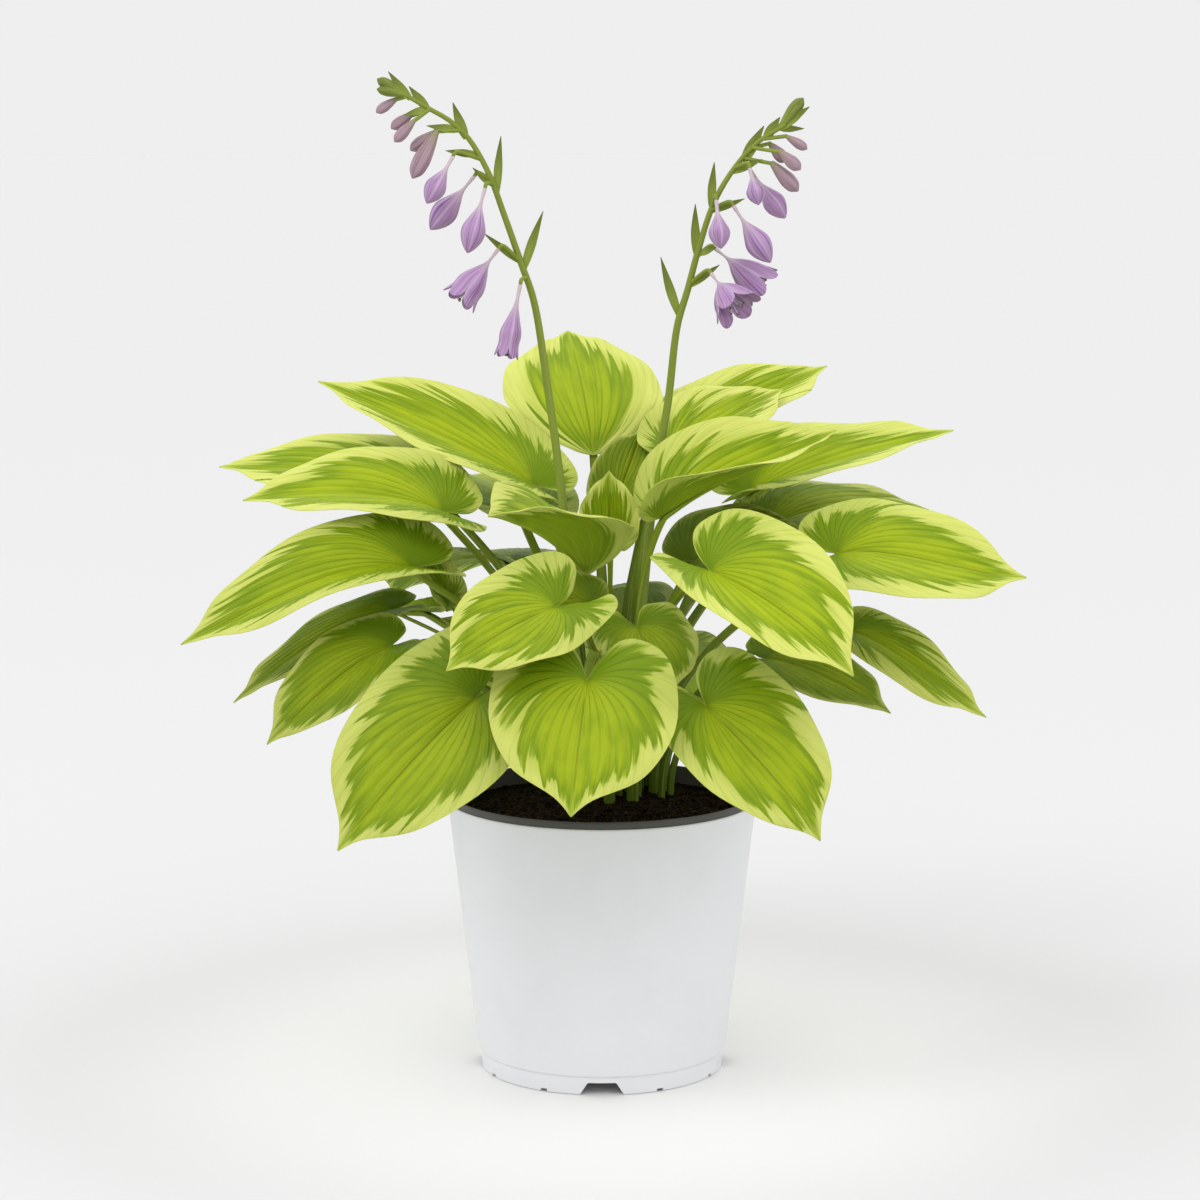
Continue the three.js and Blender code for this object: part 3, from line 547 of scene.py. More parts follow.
@dataclass(frozen=True)
class PetalFinish:
    """The skin of a flower: pale at the tube, lavender on the bell, with darker stripes along each petal.

    Attributes:
        name: The material's name.
        tube: The tube.
        bell: The bell.
        stripe: The stripes.
        edge: The edges of the petals.
    """

    name: str
    tube: Tone
    bell: Tone
    stripe: Tone
    edge: Tone

    def material(self) -> bpy.types.Material:
        """Draws the material.

        Returns:
            The finished material.
        """
        p = Palette(self.name)
        around, reach, seed = map(p.number, ("around", "reach", "seed"))
        petal = p.math("PINGPONG", p.math("MULTIPLY", around, 6.0), 0.5)
        skin = p.blend(p.spread(reach, 0.12, 0.62), self.tube, self.bell)
        skin = p.blend(p.math("MULTIPLY", p.spread(petal, 0.3, 0.5), p.spread(reach, 0.3, 0.6, 0.0, 0.55)),
                       skin, self.edge)
        streaks = p.grain(p.place(p.math("MULTIPLY_ADD", around, 60.0, seed), reach, seed), 1.0, 2.0, 0.6)
        dark = p.math("MULTIPLY", p.spread(streaks, 0.44, 0.62), p.spread(petal, 0.4, 0.05, 0.35, 0.9))
        skin = p.blend(p.math("MULTIPLY", dark, p.spread(reach, 0.2, 0.5, 0.25, 0.9)), skin, self.stripe)
        return p.finish(
            Base_Color=skin, Roughness=p.math("MULTIPLY_ADD", streaks, 0.1, 0.5), Specular_IOR_Level=0.3,
            Normal=p.relief(streaks, 0.5, 0.0006))


@dataclass(frozen=True)
class PlasticFinish:
    """Moulded plastic: an even colour with faint clouding, a fine grain and light handling marks."""

    name: str
    colour: Tone
    shade: Tone
    roughness: float

    def material(self) -> bpy.types.Material:
        """Draws the material.

        Returns:
            The finished material.
        """
        p = Palette(self.name)
        clouds = p.grain(p.where(), 14.0, 4.0, 0.6)
        marks = p.grain(p.where(), 120.0, 5.0, 0.7)
        pebble = p.grain(p.where(), 1400.0, 2.0)
        skin = p.blend(p.spread(clouds, 0.4, 0.75, 0.0, 0.5), self.colour, self.shade)
        skin = p.blend(p.spread(marks, 0.62, 0.8, 0.0, 0.35), skin, self.shade)
        gloss = p.math("MULTIPLY_ADD", marks, 0.16, self.roughness)
        return p.finish(
            Base_Color=skin, Roughness=gloss, Specular_IOR_Level=0.45,
            Normal=p.relief(pebble, 0.1, 0.0002, p.relief(clouds, 0.15, 0.001)))


@dataclass(frozen=True)
class SoilFinish:
    """Damp potting mix: near-black crumbs with brown fibres and a few pale specks."""

    name: str
    damp: Tone
    brown: Tone
    speck: Tone

    def material(self) -> bpy.types.Material:
        """Draws the material.

        Returns:
            The finished material.
        """
        p = Palette(self.name)
        crumbs = p.grain(p.where(), 260.0, 5.0, 0.7)
        fibres = p.grain(p.where(), 620.0, 3.0, 0.7)
        skin = p.blend(p.spread(crumbs, 0.46, 0.62), self.damp, self.brown)
        skin = p.blend(p.spread(fibres, 0.58, 0.66, 0.0, 0.8), skin, self.speck)
        return p.finish(
            Base_Color=skin, Roughness=p.math("MULTIPLY_ADD", crumbs, 0.15, 0.8), Specular_IOR_Level=0.08,
            Normal=p.relief(fibres, 0.6, 0.0012, p.relief(crumbs, 0.6, 0.002)))


@dataclass(frozen=True)
class FloorWithPaintedLightPool:
    """The studio's seamless pale floor, with a painted pool of light around the plant that lightens its cast
    shadow and fades out away from it.
    """

    name: str
    near: Tone
    far: Tone

    def material(self) -> bpy.types.Material:
        """Draws the material.

        Returns:
            The finished material.
        """
        p = Palette(self.name)
        tooth = p.grain(p.where(), 60.0, 3.0)
        # Painted light: the floor is lighter near the plant and fades to the plain floor tone further out.
        skin = p.blend(p.spread(p.distance(), 0.13, 0.42), self.near, self.far)
        gloss = p.math("MULTIPLY_ADD", tooth, 0.1, 0.8)
        return p.finish(Base_Color=skin, Roughness=gloss, Specular_IOR_Level=0.1)


UPPER = BladeFinish("leaf_upper_face", tone(154, 172, 14), tone(106, 134, 2), tone(200, 206, 104),
                    tone(168, 184, 54), tone(80, 106, 2), tone(46, 62, 2), 0.4)
UNDER = BladeFinish("leaf_under_face", tone(142, 165, 24), tone(114, 140, 14), tone(203, 212, 102),
                    tone(168, 186, 60), tone(156, 176, 62), tone(48, 66, 4), 0.5)
# The leaf stalks' dark foot is partly painted shade deep in the clump, and their pale top partly painted light
# where they are lit.
STALK = StalkFinish("leaf_stalk", tone(84, 104, 16), tone(132, 150, 30), tone(164, 178, 78), 0.42)
SCAPE = StalkFinish("flower_stem", tone(134, 152, 58), tone(122, 136, 50), tone(156, 168, 84), 0.45, 0.35)
BRACT = StalkFinish("bract", tone(130, 146, 58), tone(100, 112, 44), tone(152, 162, 88), 0.45, 0.4)
BUD = PetalFinish("young_bud", tone(138, 140, 84), tone(166, 138, 150), tone(112, 88, 104),
                  tone(170, 154, 150))
PETAL = PetalFinish("petal", tone(206, 190, 196), tone(172, 138, 178), tone(114, 76, 134),
                    tone(200, 180, 202))
ANTHER = StalkFinish("stamen", tone(214, 206, 214), tone(104, 84, 62), tone(140, 116, 72), 0.6, 0.3)
WHITE = PlasticFinish("white_pot_plastic", tone(226, 227, 230), tone(219, 220, 223), 0.28)
BLACK = PlasticFinish("black_pot_plastic", tone(72, 71, 67), tone(84, 83, 78), 0.42)
SOIL = SoilFinish("potting_mix", tone(7, 5, 2), tone(46, 31, 17), tone(92, 68, 42))
FLOOR_WITH_PAINTED_LIGHT = FloorWithPaintedLightPool("studio_floor", tone(238, 238, 238), tone(205, 205, 205))


@dataclass
class NurseryPot:
    """The round pot: a white outer layer with a notched foot, and a black inner layer that ends in the rim.

    Attributes:
        top_radius: Outer radius under the rim.
        wall_foot_radius: Outer radius of the wall where it meets the foot.
        foot_radius: Outer radius of the foot ring.
        foot_height: Height of the foot ring.
        foot_thickness: Thickness of the foot ring.
        wall_top: Height of the white wall.
        rim_top: Height of the black rim.
        wall: Thickness of each layer.
        gap: Space between the layers.
        floor: Height of the white floor's underside.
        drain: Radius of the drain holes and of the circle that they are on.
        notch: Half the outline of a notch at the foot, from the ground up.
        slit: Half the width and the height of the slits beside a notch.
        slit_turn: Turn from a notch to a slit, in degrees.
        sides: Facets around.
    """

    top_radius: float = 109.6
    wall_foot_radius: float = 88.8
    foot_radius: float = 86.6
    foot_height: float = 13.0
    foot_thickness: float = 3.0
    wall_top: float = 193.0
    rim_top: float = 198.0
    wall: float = 1.5
    gap: float = 0.3
    floor: float = 10.5
    drain: Pair = (6.0, 68.0)
    notch: tuple[Pair, ...] = ((15.5, -1), (15.5, 0), (11.2, 6.6), (10.6, 7.9), (9.4, 8.7))
    slit: Pair = (2.5, 2.0)
    slit_turn: float = 28.0
    sides: int = 176

    def inner_white(self, z: float) -> float:
        """Gives the white layer's inner radius at a height."""
        share = (z - self.foot_height) / (self.wall_top - self.foot_height)
        return self.wall_foot_radius + (self.top_radius - self.wall_foot_radius) * share - self.wall

    def outer_black(self, z: float) -> float:
        """Gives the black layer's outer radius at a height."""
        return self.inner_white(z) - self.gap

    def inner_black(self, z: float) -> float:
        """Gives the black layer's inner radius at a height."""
        return self.outer_black(z) - self.wall

    def softened(self, profile: list[Pair], radius: float) -> np.ndarray:
        """Rounds the corners of a profile.

        Args:
            profile: Corners as radius and height.
            radius: How far from a corner its rounding may start.

        Returns:
            The profile's points.
        """
        corners = np.array(profile, float)
        out = [corners[0]]
        for before, corner, after in zip(corners, corners[1:], corners[2:]):
            back, on = before - corner, after - corner
            reach_back = min(radius, 0.45 * np.linalg.norm(back))
            reach_on = min(radius, 0.45 * np.linalg.norm(on))
            start = corner + unit(back) * reach_back
            end = corner + unit(on) * reach_on
            for s in np.linspace(0, 1, 4):
                out.append((1 - s) ** 2 * start + 2 * s * (1 - s) * corner + s**2 * end)
        return np.array([*out, corners[-1]])

    def turned(self, name: str, profile: np.ndarray, finish: bpy.types.Material) -> bpy.types.Object:
        """Turns a profile that starts and ends on the axis.

        Args:
            name: The piece's name.
            profile: Its points as radius and height.
            finish: Its material.

        Returns:
            The turned piece.
        """
        rounds = round_sections(np.maximum(profile[:, 0], 0.4), self.sides)
        heights = np.broadcast_to(profile[:, 1, None, None], (len(profile), self.sides, 1))
        draft = Draft(name)
        draft.tube(np.concatenate([rounds, heights], -1))
        return draft.build([finish], MOULDED_EDGE)

    def prism(self, draft: Draft, angle: float, half: Sequence[Pair]) -> None:
        """Adds a cutter that crosses the foot ring.

        Args:
            draft: Where the cutter goes.
            angle: The turn about the pot's axis, from the front.
            half: The right half of its outline from the ground up, as across and up.
        """
        ring = np.array([(-half[0][0], half[0][1]), *half, *[(-x, z) for x, z in half[:0:-1]]], float)
        far = (self.foot_radius - 15, self.foot_radius + 15)
        points = np.array([np.stack([ring[:, 0], np.full(len(ring), -y), ring[:, 1]], -1) for y in far])
        turn = np.array([[math.cos(angle), math.sin(angle)], [-math.sin(angle), math.cos(angle)]])
        points[..., :2] = points[..., :2] @ turn
        draft.tube(points)

    def cut(self, piece: bpy.types.Object, cutters: Draft) -> None:
        """Cuts openings into a piece.

        Args:
            piece: The piece.
            cutters: The bodies that are cut away.
        """
        tool = cutters.build([piece.data.materials[0]])
        modifier = piece.modifiers.new("openings", "BOOLEAN")
        modifier.object = tool
        modifier.solver = "EXACT"
        seen = piece.evaluated_get(bpy.context.evaluated_depsgraph_get())
        mesh = bpy.data.meshes.new_from_object(seen)
        piece.modifiers.clear()
        piece.data = mesh
        bpy.data.objects.remove(tool)
        smooth(mesh, MOULDED_EDGE)

    def drains(self, draft: Draft) -> None:
        """Adds the cutters of the four drain holes.

        Args:
            draft: Where they go.
        """
        radius, distance = self.drain
        for turn in turns(4):
            ring = distance * np.array([math.sin(turn), -math.cos(turn)]) + radius * circle(36)
            draft.tube(np.array([np.column_stack([ring, np.full(36, z)]) for z in (5.0, 20.0)]))

    def build_white(self) -> None:
        """Builds the white outer layer."""
        foot_inner = self.foot_radius - self.foot_thickness
        floor_top = self.floor + self.wall
        profile = self.softened([
            (0, self.floor), (foot_inner, self.floor), (foot_inner, 0), (self.foot_radius, 0),
            (self.foot_radius + 0.4, self.foot_height - 0.6), (self.wall_foot_radius, self.foot_height + 0.8),
            (self.top_radius - 0.1, self.wall_top - 1.6), (self.top_radius - 0.4, self.wall_top - 0.5),
            (self.top_radius - 1.1, self.wall_top), (self.inner_white(self.wall_top), self.wall_top),
            (self.inner_white(floor_top), floor_top), (0, floor_top),
        ], 0.6)
        piece = self.turned("white_layer", profile, WHITE.material())
        cutters = Draft("foot_openings")
        width, height = self.slit
        slit = ((width, -1), (width, height))
        for turn in turns(4):
            self.prism(cutters, turn, self.notch)
            for side in (-1, 1):
                self.prism(cutters, turn + side * math.radians(self.slit_turn), slit)
        self.drains(cutters)
        self.cut(piece, cutters)
        settle(piece, "pot_white_layer")

    def build_black(self) -> None:
        """Builds the black inner layer with its rim."""
        under = self.floor + self.wall + self.gap
        floor_top = under + self.wall
        lip = self.wall_top + self.gap
        top = self.inner_black(self.wall_top)
        profile = self.softened([
            (0, under), (self.outer_black(under), under), (self.outer_black(lip), lip),
            (self.top_radius - 1.2, lip), (self.top_radius - 1.6, self.rim_top - 1),
            (self.top_radius - 2.4, self.rim_top),
            (top + 0.9, self.rim_top), (top + 0.2, self.rim_top - 0.8),
            (self.inner_black(floor_top), floor_top), (0, floor_top),
        ], 0.5)
        piece = self.turned("black_layer", profile, BLACK.material())
        cutters = Draft("drain_holes")
        self.drains(cutters)
        self.cut(piece, cutters)
        settle(piece, "pot_black_layer")


@dataclass
class Soil:
    """The plug of potting mix and its crumbly, slightly mounded surface.

    Attributes:
        pot: The pot that it fills.
        edge: Height of the surface at the pot's wall.
        mound: Rise of the middle above the edge.
        grain: Unevenness of the surface.
        crumbs: How many loose crumbs lie on it.
        crown: The middle of the plant's crown.
    """

    pot: NurseryPot
    edge: float = 186.0
    mound: float = 12.0
    grain: float = 0.9
    crumbs: int = 420
    crown: Triple = (8.0, 20.0, 0.0)

    @property
    def radius(self) -> float:
        """Gives the surface's radius."""
        return self.pot.inner_black(self.edge) - 2 * self.pot.gap

    def height(self, x: np.ndarray, y: np.ndarray) -> np.ndarray:
        """Gives the surface's broad height at places.

        Args:
            x: Places to the right.
            y: Places to the back.

        Returns:
            The heights.
        """
        r = np.hypot(x, y) / self.radius
        grain = np.sin(x * 0.13 + 1) * np.cos(y * 0.11) + np.sin(x * 0.05 - y * 0.17)
        return self.edge + self.mound * (1 - r * r) ** 2 + self.grain * grain * (1 - r**4)

    def crumble(self, x: np.ndarray, y: np.ndarray) -> np.ndarray:
        """Gives the fine lumps of the surface.

        Args:
            x: Places to the right.
            y: Places to the back.

        Returns:
            Heights of the lumps.
        """
        lumps = [
            1.5 * noise.noise(Vector((a * 0.16, b * 0.16, 3.1)))
            + 1.1 * noise.noise(Vector((a * 0.45, b * 0.45, 7.7)))
            + 0.7 * abs(noise.noise(Vector((a * 1.1, b * 1.1, 1.3))))
            for a, b in zip(x.ravel().tolist(), y.ravel().tolist())
        ]
        return np.array(lumps).reshape(x.shape) - 1.0

    def build(self) -> None:
        """Builds the plug with its surface and crumbs."""
        ring = circle(360)
        bottom = self.pot.floor + 2 * self.pot.wall + 2 * self.pot.gap
        foot = self.pot.inner_black(bottom) - self.pot.gap
        points = [np.column_stack([foot * ring, np.full(len(ring), bottom)])]
        for share in np.linspace(1, 0.012, 92):
            x, y = self.radius * share * ring.T
            z = self.height(x, y) + (self.crumble(x, y) if share < 0.999 else -0.6)
            points.append(np.column_stack([x, y, z]))
        draft = Draft("soil_surface")
        draft.tube(np.array(points))
        rng = np.random.default_rng(5)
        polar = np.linspace(0.25, math.pi - 0.25, 5)
        height = np.tile(np.cos(polar)[:, None, None], (1, 7, 1))
        ball = np.concatenate([round_sections(np.sin(polar), 7), height], -1)
        for _ in range(self.crumbs):
            r = (self.radius - 4) * math.sqrt(rng.random())
            a = 2 * math.pi * rng.random()
            size = 0.8 + 1.7 * rng.random() ** 2
            stretch = np.array([1, 0.6 + 0.5 * rng.random(), 0.45 + 0.3 * rng.random()]) * size
            lump = ball * stretch * (1 + 0.25 * rng.standard_normal((5, 7, 1)))
            c, s = math.cos(6.28 * rng.random()), math.sin(6.28 * rng.random())
            lump = lump @ np.array([[c, s, 0], [-s, c, 0], [0, 0, 1]])
            x, y = r * math.cos(a), r * math.sin(a)
            z = float(self.height(x, y) + self.crumble(np.array(x), np.array(y)))
            draft.tube(lump + np.array([x, y, z + 0.2 * size]))
        settle(draft.build([SOIL.material()], 60.0), "soil")

    def crown_spot(self, spot: Pair) -> tuple[np.ndarray, np.ndarray]:
        """Finds where a stalk or stem stands.

        Args:
            spot: Radius from the crown's middle and turn in degrees.

        Returns:
            The root point, and the way from it to the crown's middle.
        """
        radius, turn = spot
        outward = np.array([math.cos(math.radians(turn)), math.sin(math.radians(turn)), 0.0])
        root = np.array(self.crown) + outward * radius
        root[2] = self.height(root[0], root[1])
        return root, -outward


# Half outlines of a blade as shares of its length and half width, from the stalk to the tip.
SLIM = (
    (0, 0), (-0.1, 0.22), (-0.09, 0.55), (0.05, 0.88), (0.28, 1),
    (0.54, 0.91), (0.76, 0.59), (0.9, 0.19), (1, 0),
)
HEART = (
    (0, 0), (-0.24, 0.16), (-0.33, 0.46), (-0.22, 0.82), (0.08, 1),
    (0.38, 0.98), (0.68, 0.72), (0.88, 0.19), (1, 0),
)

# Places along a stalk with its widths and its depths there, and the same for the rib under the blade.
STALK_GIRTH = ((0, 0.27, 0.52, 0.78, 1.0), (8.6, 7.6, 7.6, 6.4, 6.2), (6.2, 5.4, 5.4, 4.6, 4.4))
RIB_GIRTH = ((0, 0.34, 0.62), (6.2, 2.0, 0.9), (4.4, 1.6, 0.7))
NECK_DEPTH = 4.6

# The width of the pale margin in millimetres and how much painted shade darkens the leaf; the others take the
# plain values.
PLAIN_MARGIN_AND_SHADE = (14.0, 0.14)
MARGINS_AND_PAINTED_SHADE = {
    "leaf_back_1": (24.0, 0.0), "leaf_left_1": (20.0, 0.0), "leaf_left_2": (20.0, 0.0),
    "leaf_left_3": (17.0, 0.05), "leaf_right_1": (21.0, 0.0), "leaf_right_2": (19.0, 0.0),
    "leaf_right_3": (20.0, 0.0), "leaf_right_4": (19.0, 0.0), "leaf_right_6": (17.0, 0.05),
    "leaf_right_8": (16.0, 0.0), "leaf_front_2": (15.0, 0.12), "leaf_front_3": (7.0, 0.26),
    "leaf_right_10": (3.0, 0.5), "leaf_left_5": (5.0, 0.35), "leaf_left_6": (6.0, 0.32),
    "leaf_left_7": (16.0, 0.22), "leaf_back_2": (3.0, 0.4), "leaf_right_5": (14.0, 0.3),
    "leaf_right_7": (4.0, 0.6), "leaf_inner_1": (3.0, 0.5), "leaf_inner_2": (3.0, 0.5),
    "leaf_inner_3": (2.0, 0.6), "leaf_inner_4": (8.0, 0.3), "leaf_inner_5": (3.0, 0.4),
    "leaf_young_2": (7.0, 0.1),
}


@dataclass
class Leaf:
    """One leaf: a channelled stalk out of the soil, and a veined blade with a wavy margin.

    Attributes:
        name: The leaf's node.
        spot: Where its stalk stands on the crown, as radius and turn.
        neck: Where stalk meets blade.
        tip: The blade's tip.
        facing: The way the upper face looks.
        width: The blade's width when flat.
        arch: Lift of the midrib near the neck and near the tip.
        fold: How far the halves are folded up, in degrees.
        droop: How far the margins bend down again, in degrees.
        twist: Turn of the blade along its length, in degrees.
        wave: Height of the margin's waves.
        heart: Shape of the outline, from slim (0) to heart (1).
        hook: Rise of the stalk above the neck.
        lift: Lift of the lobes beside the neck.
        phase: The leaf's number, which shifts its waves and markings.
        thickness: Thickness of the blade.
        quilt: How high the blade swells between its veins.
        groove: How deep the midrib lies.
        ripple: Height of the margin's fine ripple.
        vein_end: Where the veins would meet past the tip, as a share of the length.
        rows: Rings along the blade.
        columns: Faces across it.
    """

    name: str
    spot: Pair
    neck: Triple
    tip: Triple
    facing: Triple
    width: float
    arch: Pair
    fold: float
    droop: float
    twist: float
    wave: float
    heart: float
    hook: float
    lift: float = 0.3
    phase: int = 0
    thickness: float = 0.9
    quilt: float = 0.95
    groove: float = 0.55
    ripple: float = 1.2
    vein_end: float = 1.22
    rows: int = 46
    columns: int = 64

    def __post_init__(self) -> None:
        """Works out the midrib, the outline and the girth of the stalk, which is slimmer on a narrow leaf."""
        neck, tip = np.array(self.neck, float), np.array(self.tip, float)
        chord = tip - neck
        self.length = float(np.linalg.norm(chord))
        forward = unit(chord)
        facing = unit(np.array(self.facing, float))
        out = unit(facing - forward * facing.dot(forward))
        near, far = (neck + share * chord + out * arch for share, arch in zip((0.3, 0.7), self.arch))
        self.spine = (neck, near, far, tip)
        self.across = np.cross(forward, out)
        self.girth = min(1.0, self.width / 95)
        slim, heart = np.array(SLIM, float), np.array(HEART, float)
        self.corners = slim + (heart - slim) * self.heart

    @property
    def seed(self) -> float:
        """Gives the number that shifts the leaf's markings."""
        return self.phase * 1.73

    def outline(self, t: np.ndarray) -> np.ndarray:
        """Gives the outline's points.

        Args:
            t: Places on it, from 0 at the stalk to 1 at the tip.

        Returns:
            Shares of the length and of the half width.
        """
        corners = self.corners
        place = (len(corners) - 1) * np.clip(t, 0, 1)
        i = np.clip(np.floor(place).astype(int), 0, len(corners) - 2)
        s = (place - i)[..., None]
        p0, p1 = corners[np.maximum(i - 1, 0)], corners[i]
        p2, p3 = corners[i + 1], corners[np.minimum(i + 2, len(corners) - 1)]
        v0, v1 = (p2 - p0) / 2, (p3 - p1) / 2
        return (2 * p1 - 2 * p2 + v0 + v1) * s**3 + (3 * p2 - 3 * p1 - 2 * v0 - v1) * s**2 + v0 * s + p1

    def surface(self, t: np.ndarray, v: np.ndarray) -> np.ndarray:
        """Gives points on the middle of the blade.

        Args:
            t: Places along the veins, from the stalk to the tip.
            v: Places across, from -1 at one margin to 1 at the other.

        Returns:
            The points.
        """
        edge = self.outline(t)
        share = np.abs(v)
        along = t + (edge[..., 0] - t) * share
        outward = edge[..., 1] * share
        u = np.maximum(along, 0)
        middle, forward = bezier(self.spine, u)
        turn = (math.radians(self.twist) * u)[..., None]
        across = np.broadcast_to(self.across, forward.shape)
        dot = np.sum(across * forward, -1, keepdims=True)
        side = across * np.cos(turn) + np.cross(forward, across) * np.sin(turn)
        side = side + forward * dot * (1 - np.cos(turn))
        out = np.cross(side, forward)
        fold = math.radians(self.fold) * (1.15 - 0.6 * along)
        bend = math.radians(self.droop) + 1e-3
        half = self.width / 2
        reach = half * (np.sin(fold) - np.sin(fold - bend * outward)) / bend
        rise = half * (np.cos(fold - bend * outward) - np.cos(fold)) / bend
        rise = rise + self.wave * outward**2 * np.sin(WAVE_TURN * t + self.phase + np.where(v > 0, 1.9, 0.0))
        rise = rise + half * self.lift * self.heart * outward * np.maximum(0, 0.28 - along) ** 2 * 3
        point = middle + forward * ((along - u) * self.length)[..., None]
        return point + side * (np.sign(v) * reach)[..., None] + out * rise[..., None]

    def flow(self, x: np.ndarray, y: np.ndarray) -> np.ndarray:
        """Gives the place across the veins, which run in arcs from the neck toward a point past the tip.

        Args:
            x: Places across the blade, from the midrib.
            y: Places along it, from the neck.

        Returns:
            Zero on the midrib, and 1 or -1 on the veins that reach the widest part.
        """
        end = self.vein_end * self.length
        widest = math.atan2(self.width, self.length) + math.atan2(self.width, 2 * end - self.length)
        return np.sign(x) * (np.arctan2(np.abs(x), y) + np.arctan2(np.abs(x), end - y)) / widest

    def normal(self, t: np.ndarray, v: np.ndarray) -> np.ndarray:
        """Gives the way out of the upper face.

        Args:
            t: Places along the veins.
            v: Places across.

        Returns:
            Unit vectors.
        """
        step = 0.02
        inner = np.clip(t, 0.04, 0.96)
        along = self.surface(inner + step, v) - self.surface(inner - step, v)
        across = self.surface(inner, v + step) - self.surface(inner, v - step)
        return unit(np.cross(across, along))

    def blade(self, draft: Draft) -> None:
        """Adds the blade: sunken veins above, raised ones below, and a thin margin.

        Args:
            draft: The leaf's draft.
        """
        half = self.width / 2
        top = np.linspace(-1, 1, self.columns + 1)
        below = np.linspace(1, -1, self.columns // 2 + 1)
        v = np.concatenate([top, below])
        side = np.concatenate([np.ones(len(top)), -np.ones(len(below))])
        t = np.concatenate([[0.006], np.linspace(0.02, 0.975, self.rows), [0.994]])
        t, v = np.meshgrid(t, v, indexing="ij")
        edge = self.outline(t)
        room = edge[..., 1] * half
        share = np.abs(v)
        calm = ease(t, 0.02, 0.12) * (1 - ease(t, 0.86, 0.99))
        calm = calm * ease(room, 2.0, 30.0) * (1 - ease(share, 0.9, 1.0))
        along = t + (edge[..., 0] - t) * share
        flow = self.flow(v * room, along * self.length)
        ridge = np.abs(np.sin(math.pi * VEIN_PAIRS * flow)) ** 0.6
        quilt = self.quilt * (ridge - 0.6) * calm
        groove = -self.groove * np.exp(-((share * room / 1.8) ** 2))
        groove = groove * ease(t, 0.0, 0.06) * (1 - ease(t, 0.7, 0.97))
        body = self.thickness / 2 * (0.55 + 0.45 * ease(1 - share, 0.0, 0.12))
        ripple = self.ripple * share**4 * np.sin(RIPPLE_TURN * t + self.phase)
        ripple = ripple * ease(t, 0.02, 0.12) * (1 - ease(t, 0.8, 0.97))
        lift = side * body + quilt + groove + ripple
        points = self.surface(t, v) + self.normal(t, v * 0.97) * lift[..., None]
        rim = (1 - share) * np.hypot((edge[..., 0] - t) * self.length, room)
        # The second value is how much painted shade darkens this leaf.
        pale, shade = MARGINS_AND_PAINTED_SHADE.get(self.name, PLAIN_MARGIN_AND_SHADE)
        margin = np.minimum(pale * (0.3 + 0.7 * ease(t, 0.15, 0.5)), 1.0 + 0.42 * room)
        under = (np.arange(t.shape[1]) > self.columns).astype(int)
        draft.tube(points, under, flow=flow, along=along, rim=rim, margin=margin, shade=shade, seed=self.seed)

    def stalk(self, draft: Draft, soil: Soil) -> None:
        """Adds the stalk, and the midrib that it becomes under the blade.

        Args:
            draft: The leaf's draft.
            soil: The soil that it stands in.
        """
        root, inward = soil.crown_spot(self.spot)
        neck = self.spine[0]
        up = np.array([0.0, 0.0, 1.0])
        _, forward = bezier(self.spine, 0.0)
        out = np.cross(self.across, forward)
        span = neck - root
        size = float(np.linalg.norm(span))
        arrive = unit(unit(span) * 0.6 + forward * 0.4)
        bend = neck - arrive * size * 0.3 + up * self.hook
        rise = (root, root + up * size * 0.45, bend, neck - out * NECK_DEPTH / 2)
        u = np.concatenate([[0.0], np.linspace(0.0, 0.97, 30)])
        path, ways = bezier(rise, u)
        path[0] -= up * ROOT_DEPTH
        ways[0] = up
        side = np.cross(up, inward)[None] * (1 - u[:, None]) + self.across[None] * u[:, None]
        ups = np.cross(side, ways)
        places, *girths = STALK_GIRTH
        sizes = [through(places, girth, u) for girth in girths]
        along = np.linspace(0.02, 0.62, 22)
        middle = np.zeros_like(along)
        normals = self.normal(along, middle)
        places, *girths = RIB_GIRTH
        rib_sizes = [through(places, girth, along) for girth in girths]
        sunk = 0.01 * self.fold - rib_sizes[1] / 2 - 0.5 * ease(along, 0.02, 0.1)
        ribs = self.surface(along, middle) + normals * sunk[:, None]
        path = np.vstack([path, ribs])
        ways = np.vstack([ways, bezier(self.spine, along)[1]])
        ups = np.vstack([ups, normals])
        sizes = np.hstack([sizes, rib_sizes]).T * self.girth
        bowl = np.linspace(0, math.pi, 11)
        groove = np.linspace(-0.8, 0.8, 5)
        across = np.concatenate([np.cos(bowl), groove])
        height = np.concatenate([1 - 1.95 * np.sin(bowl) ** 0.8, 0.2 + 0.62 * np.abs(groove) ** 1.6])
        section = np.stack([across, height], -1)
        rings = set_rings(path, ways, ups, section[None] * sizes[:, None, :] / 2)
        reach = np.clip(np.linspace(0, 1.35, len(path)), 0, 1)[:, None]
        draft.tube(rings, 2, reach=reach, around=np.linspace(0, 1, len(section)), seed=self.seed)

    def build(self, soil: Soil, finishes: Sequence[bpy.types.Material]) -> None:
        """Builds the leaf.

        Args:
            soil: The soil that it stands in.
            finishes: The materials of the upper face, the under face and the stalk.
        """
        draft = Draft(self.name.replace("leaf", "hosta_leaf"))
        self.blade(draft)
        self.stalk(draft, soil)
        settle(draft.build(finishes, 70.0), self.name)


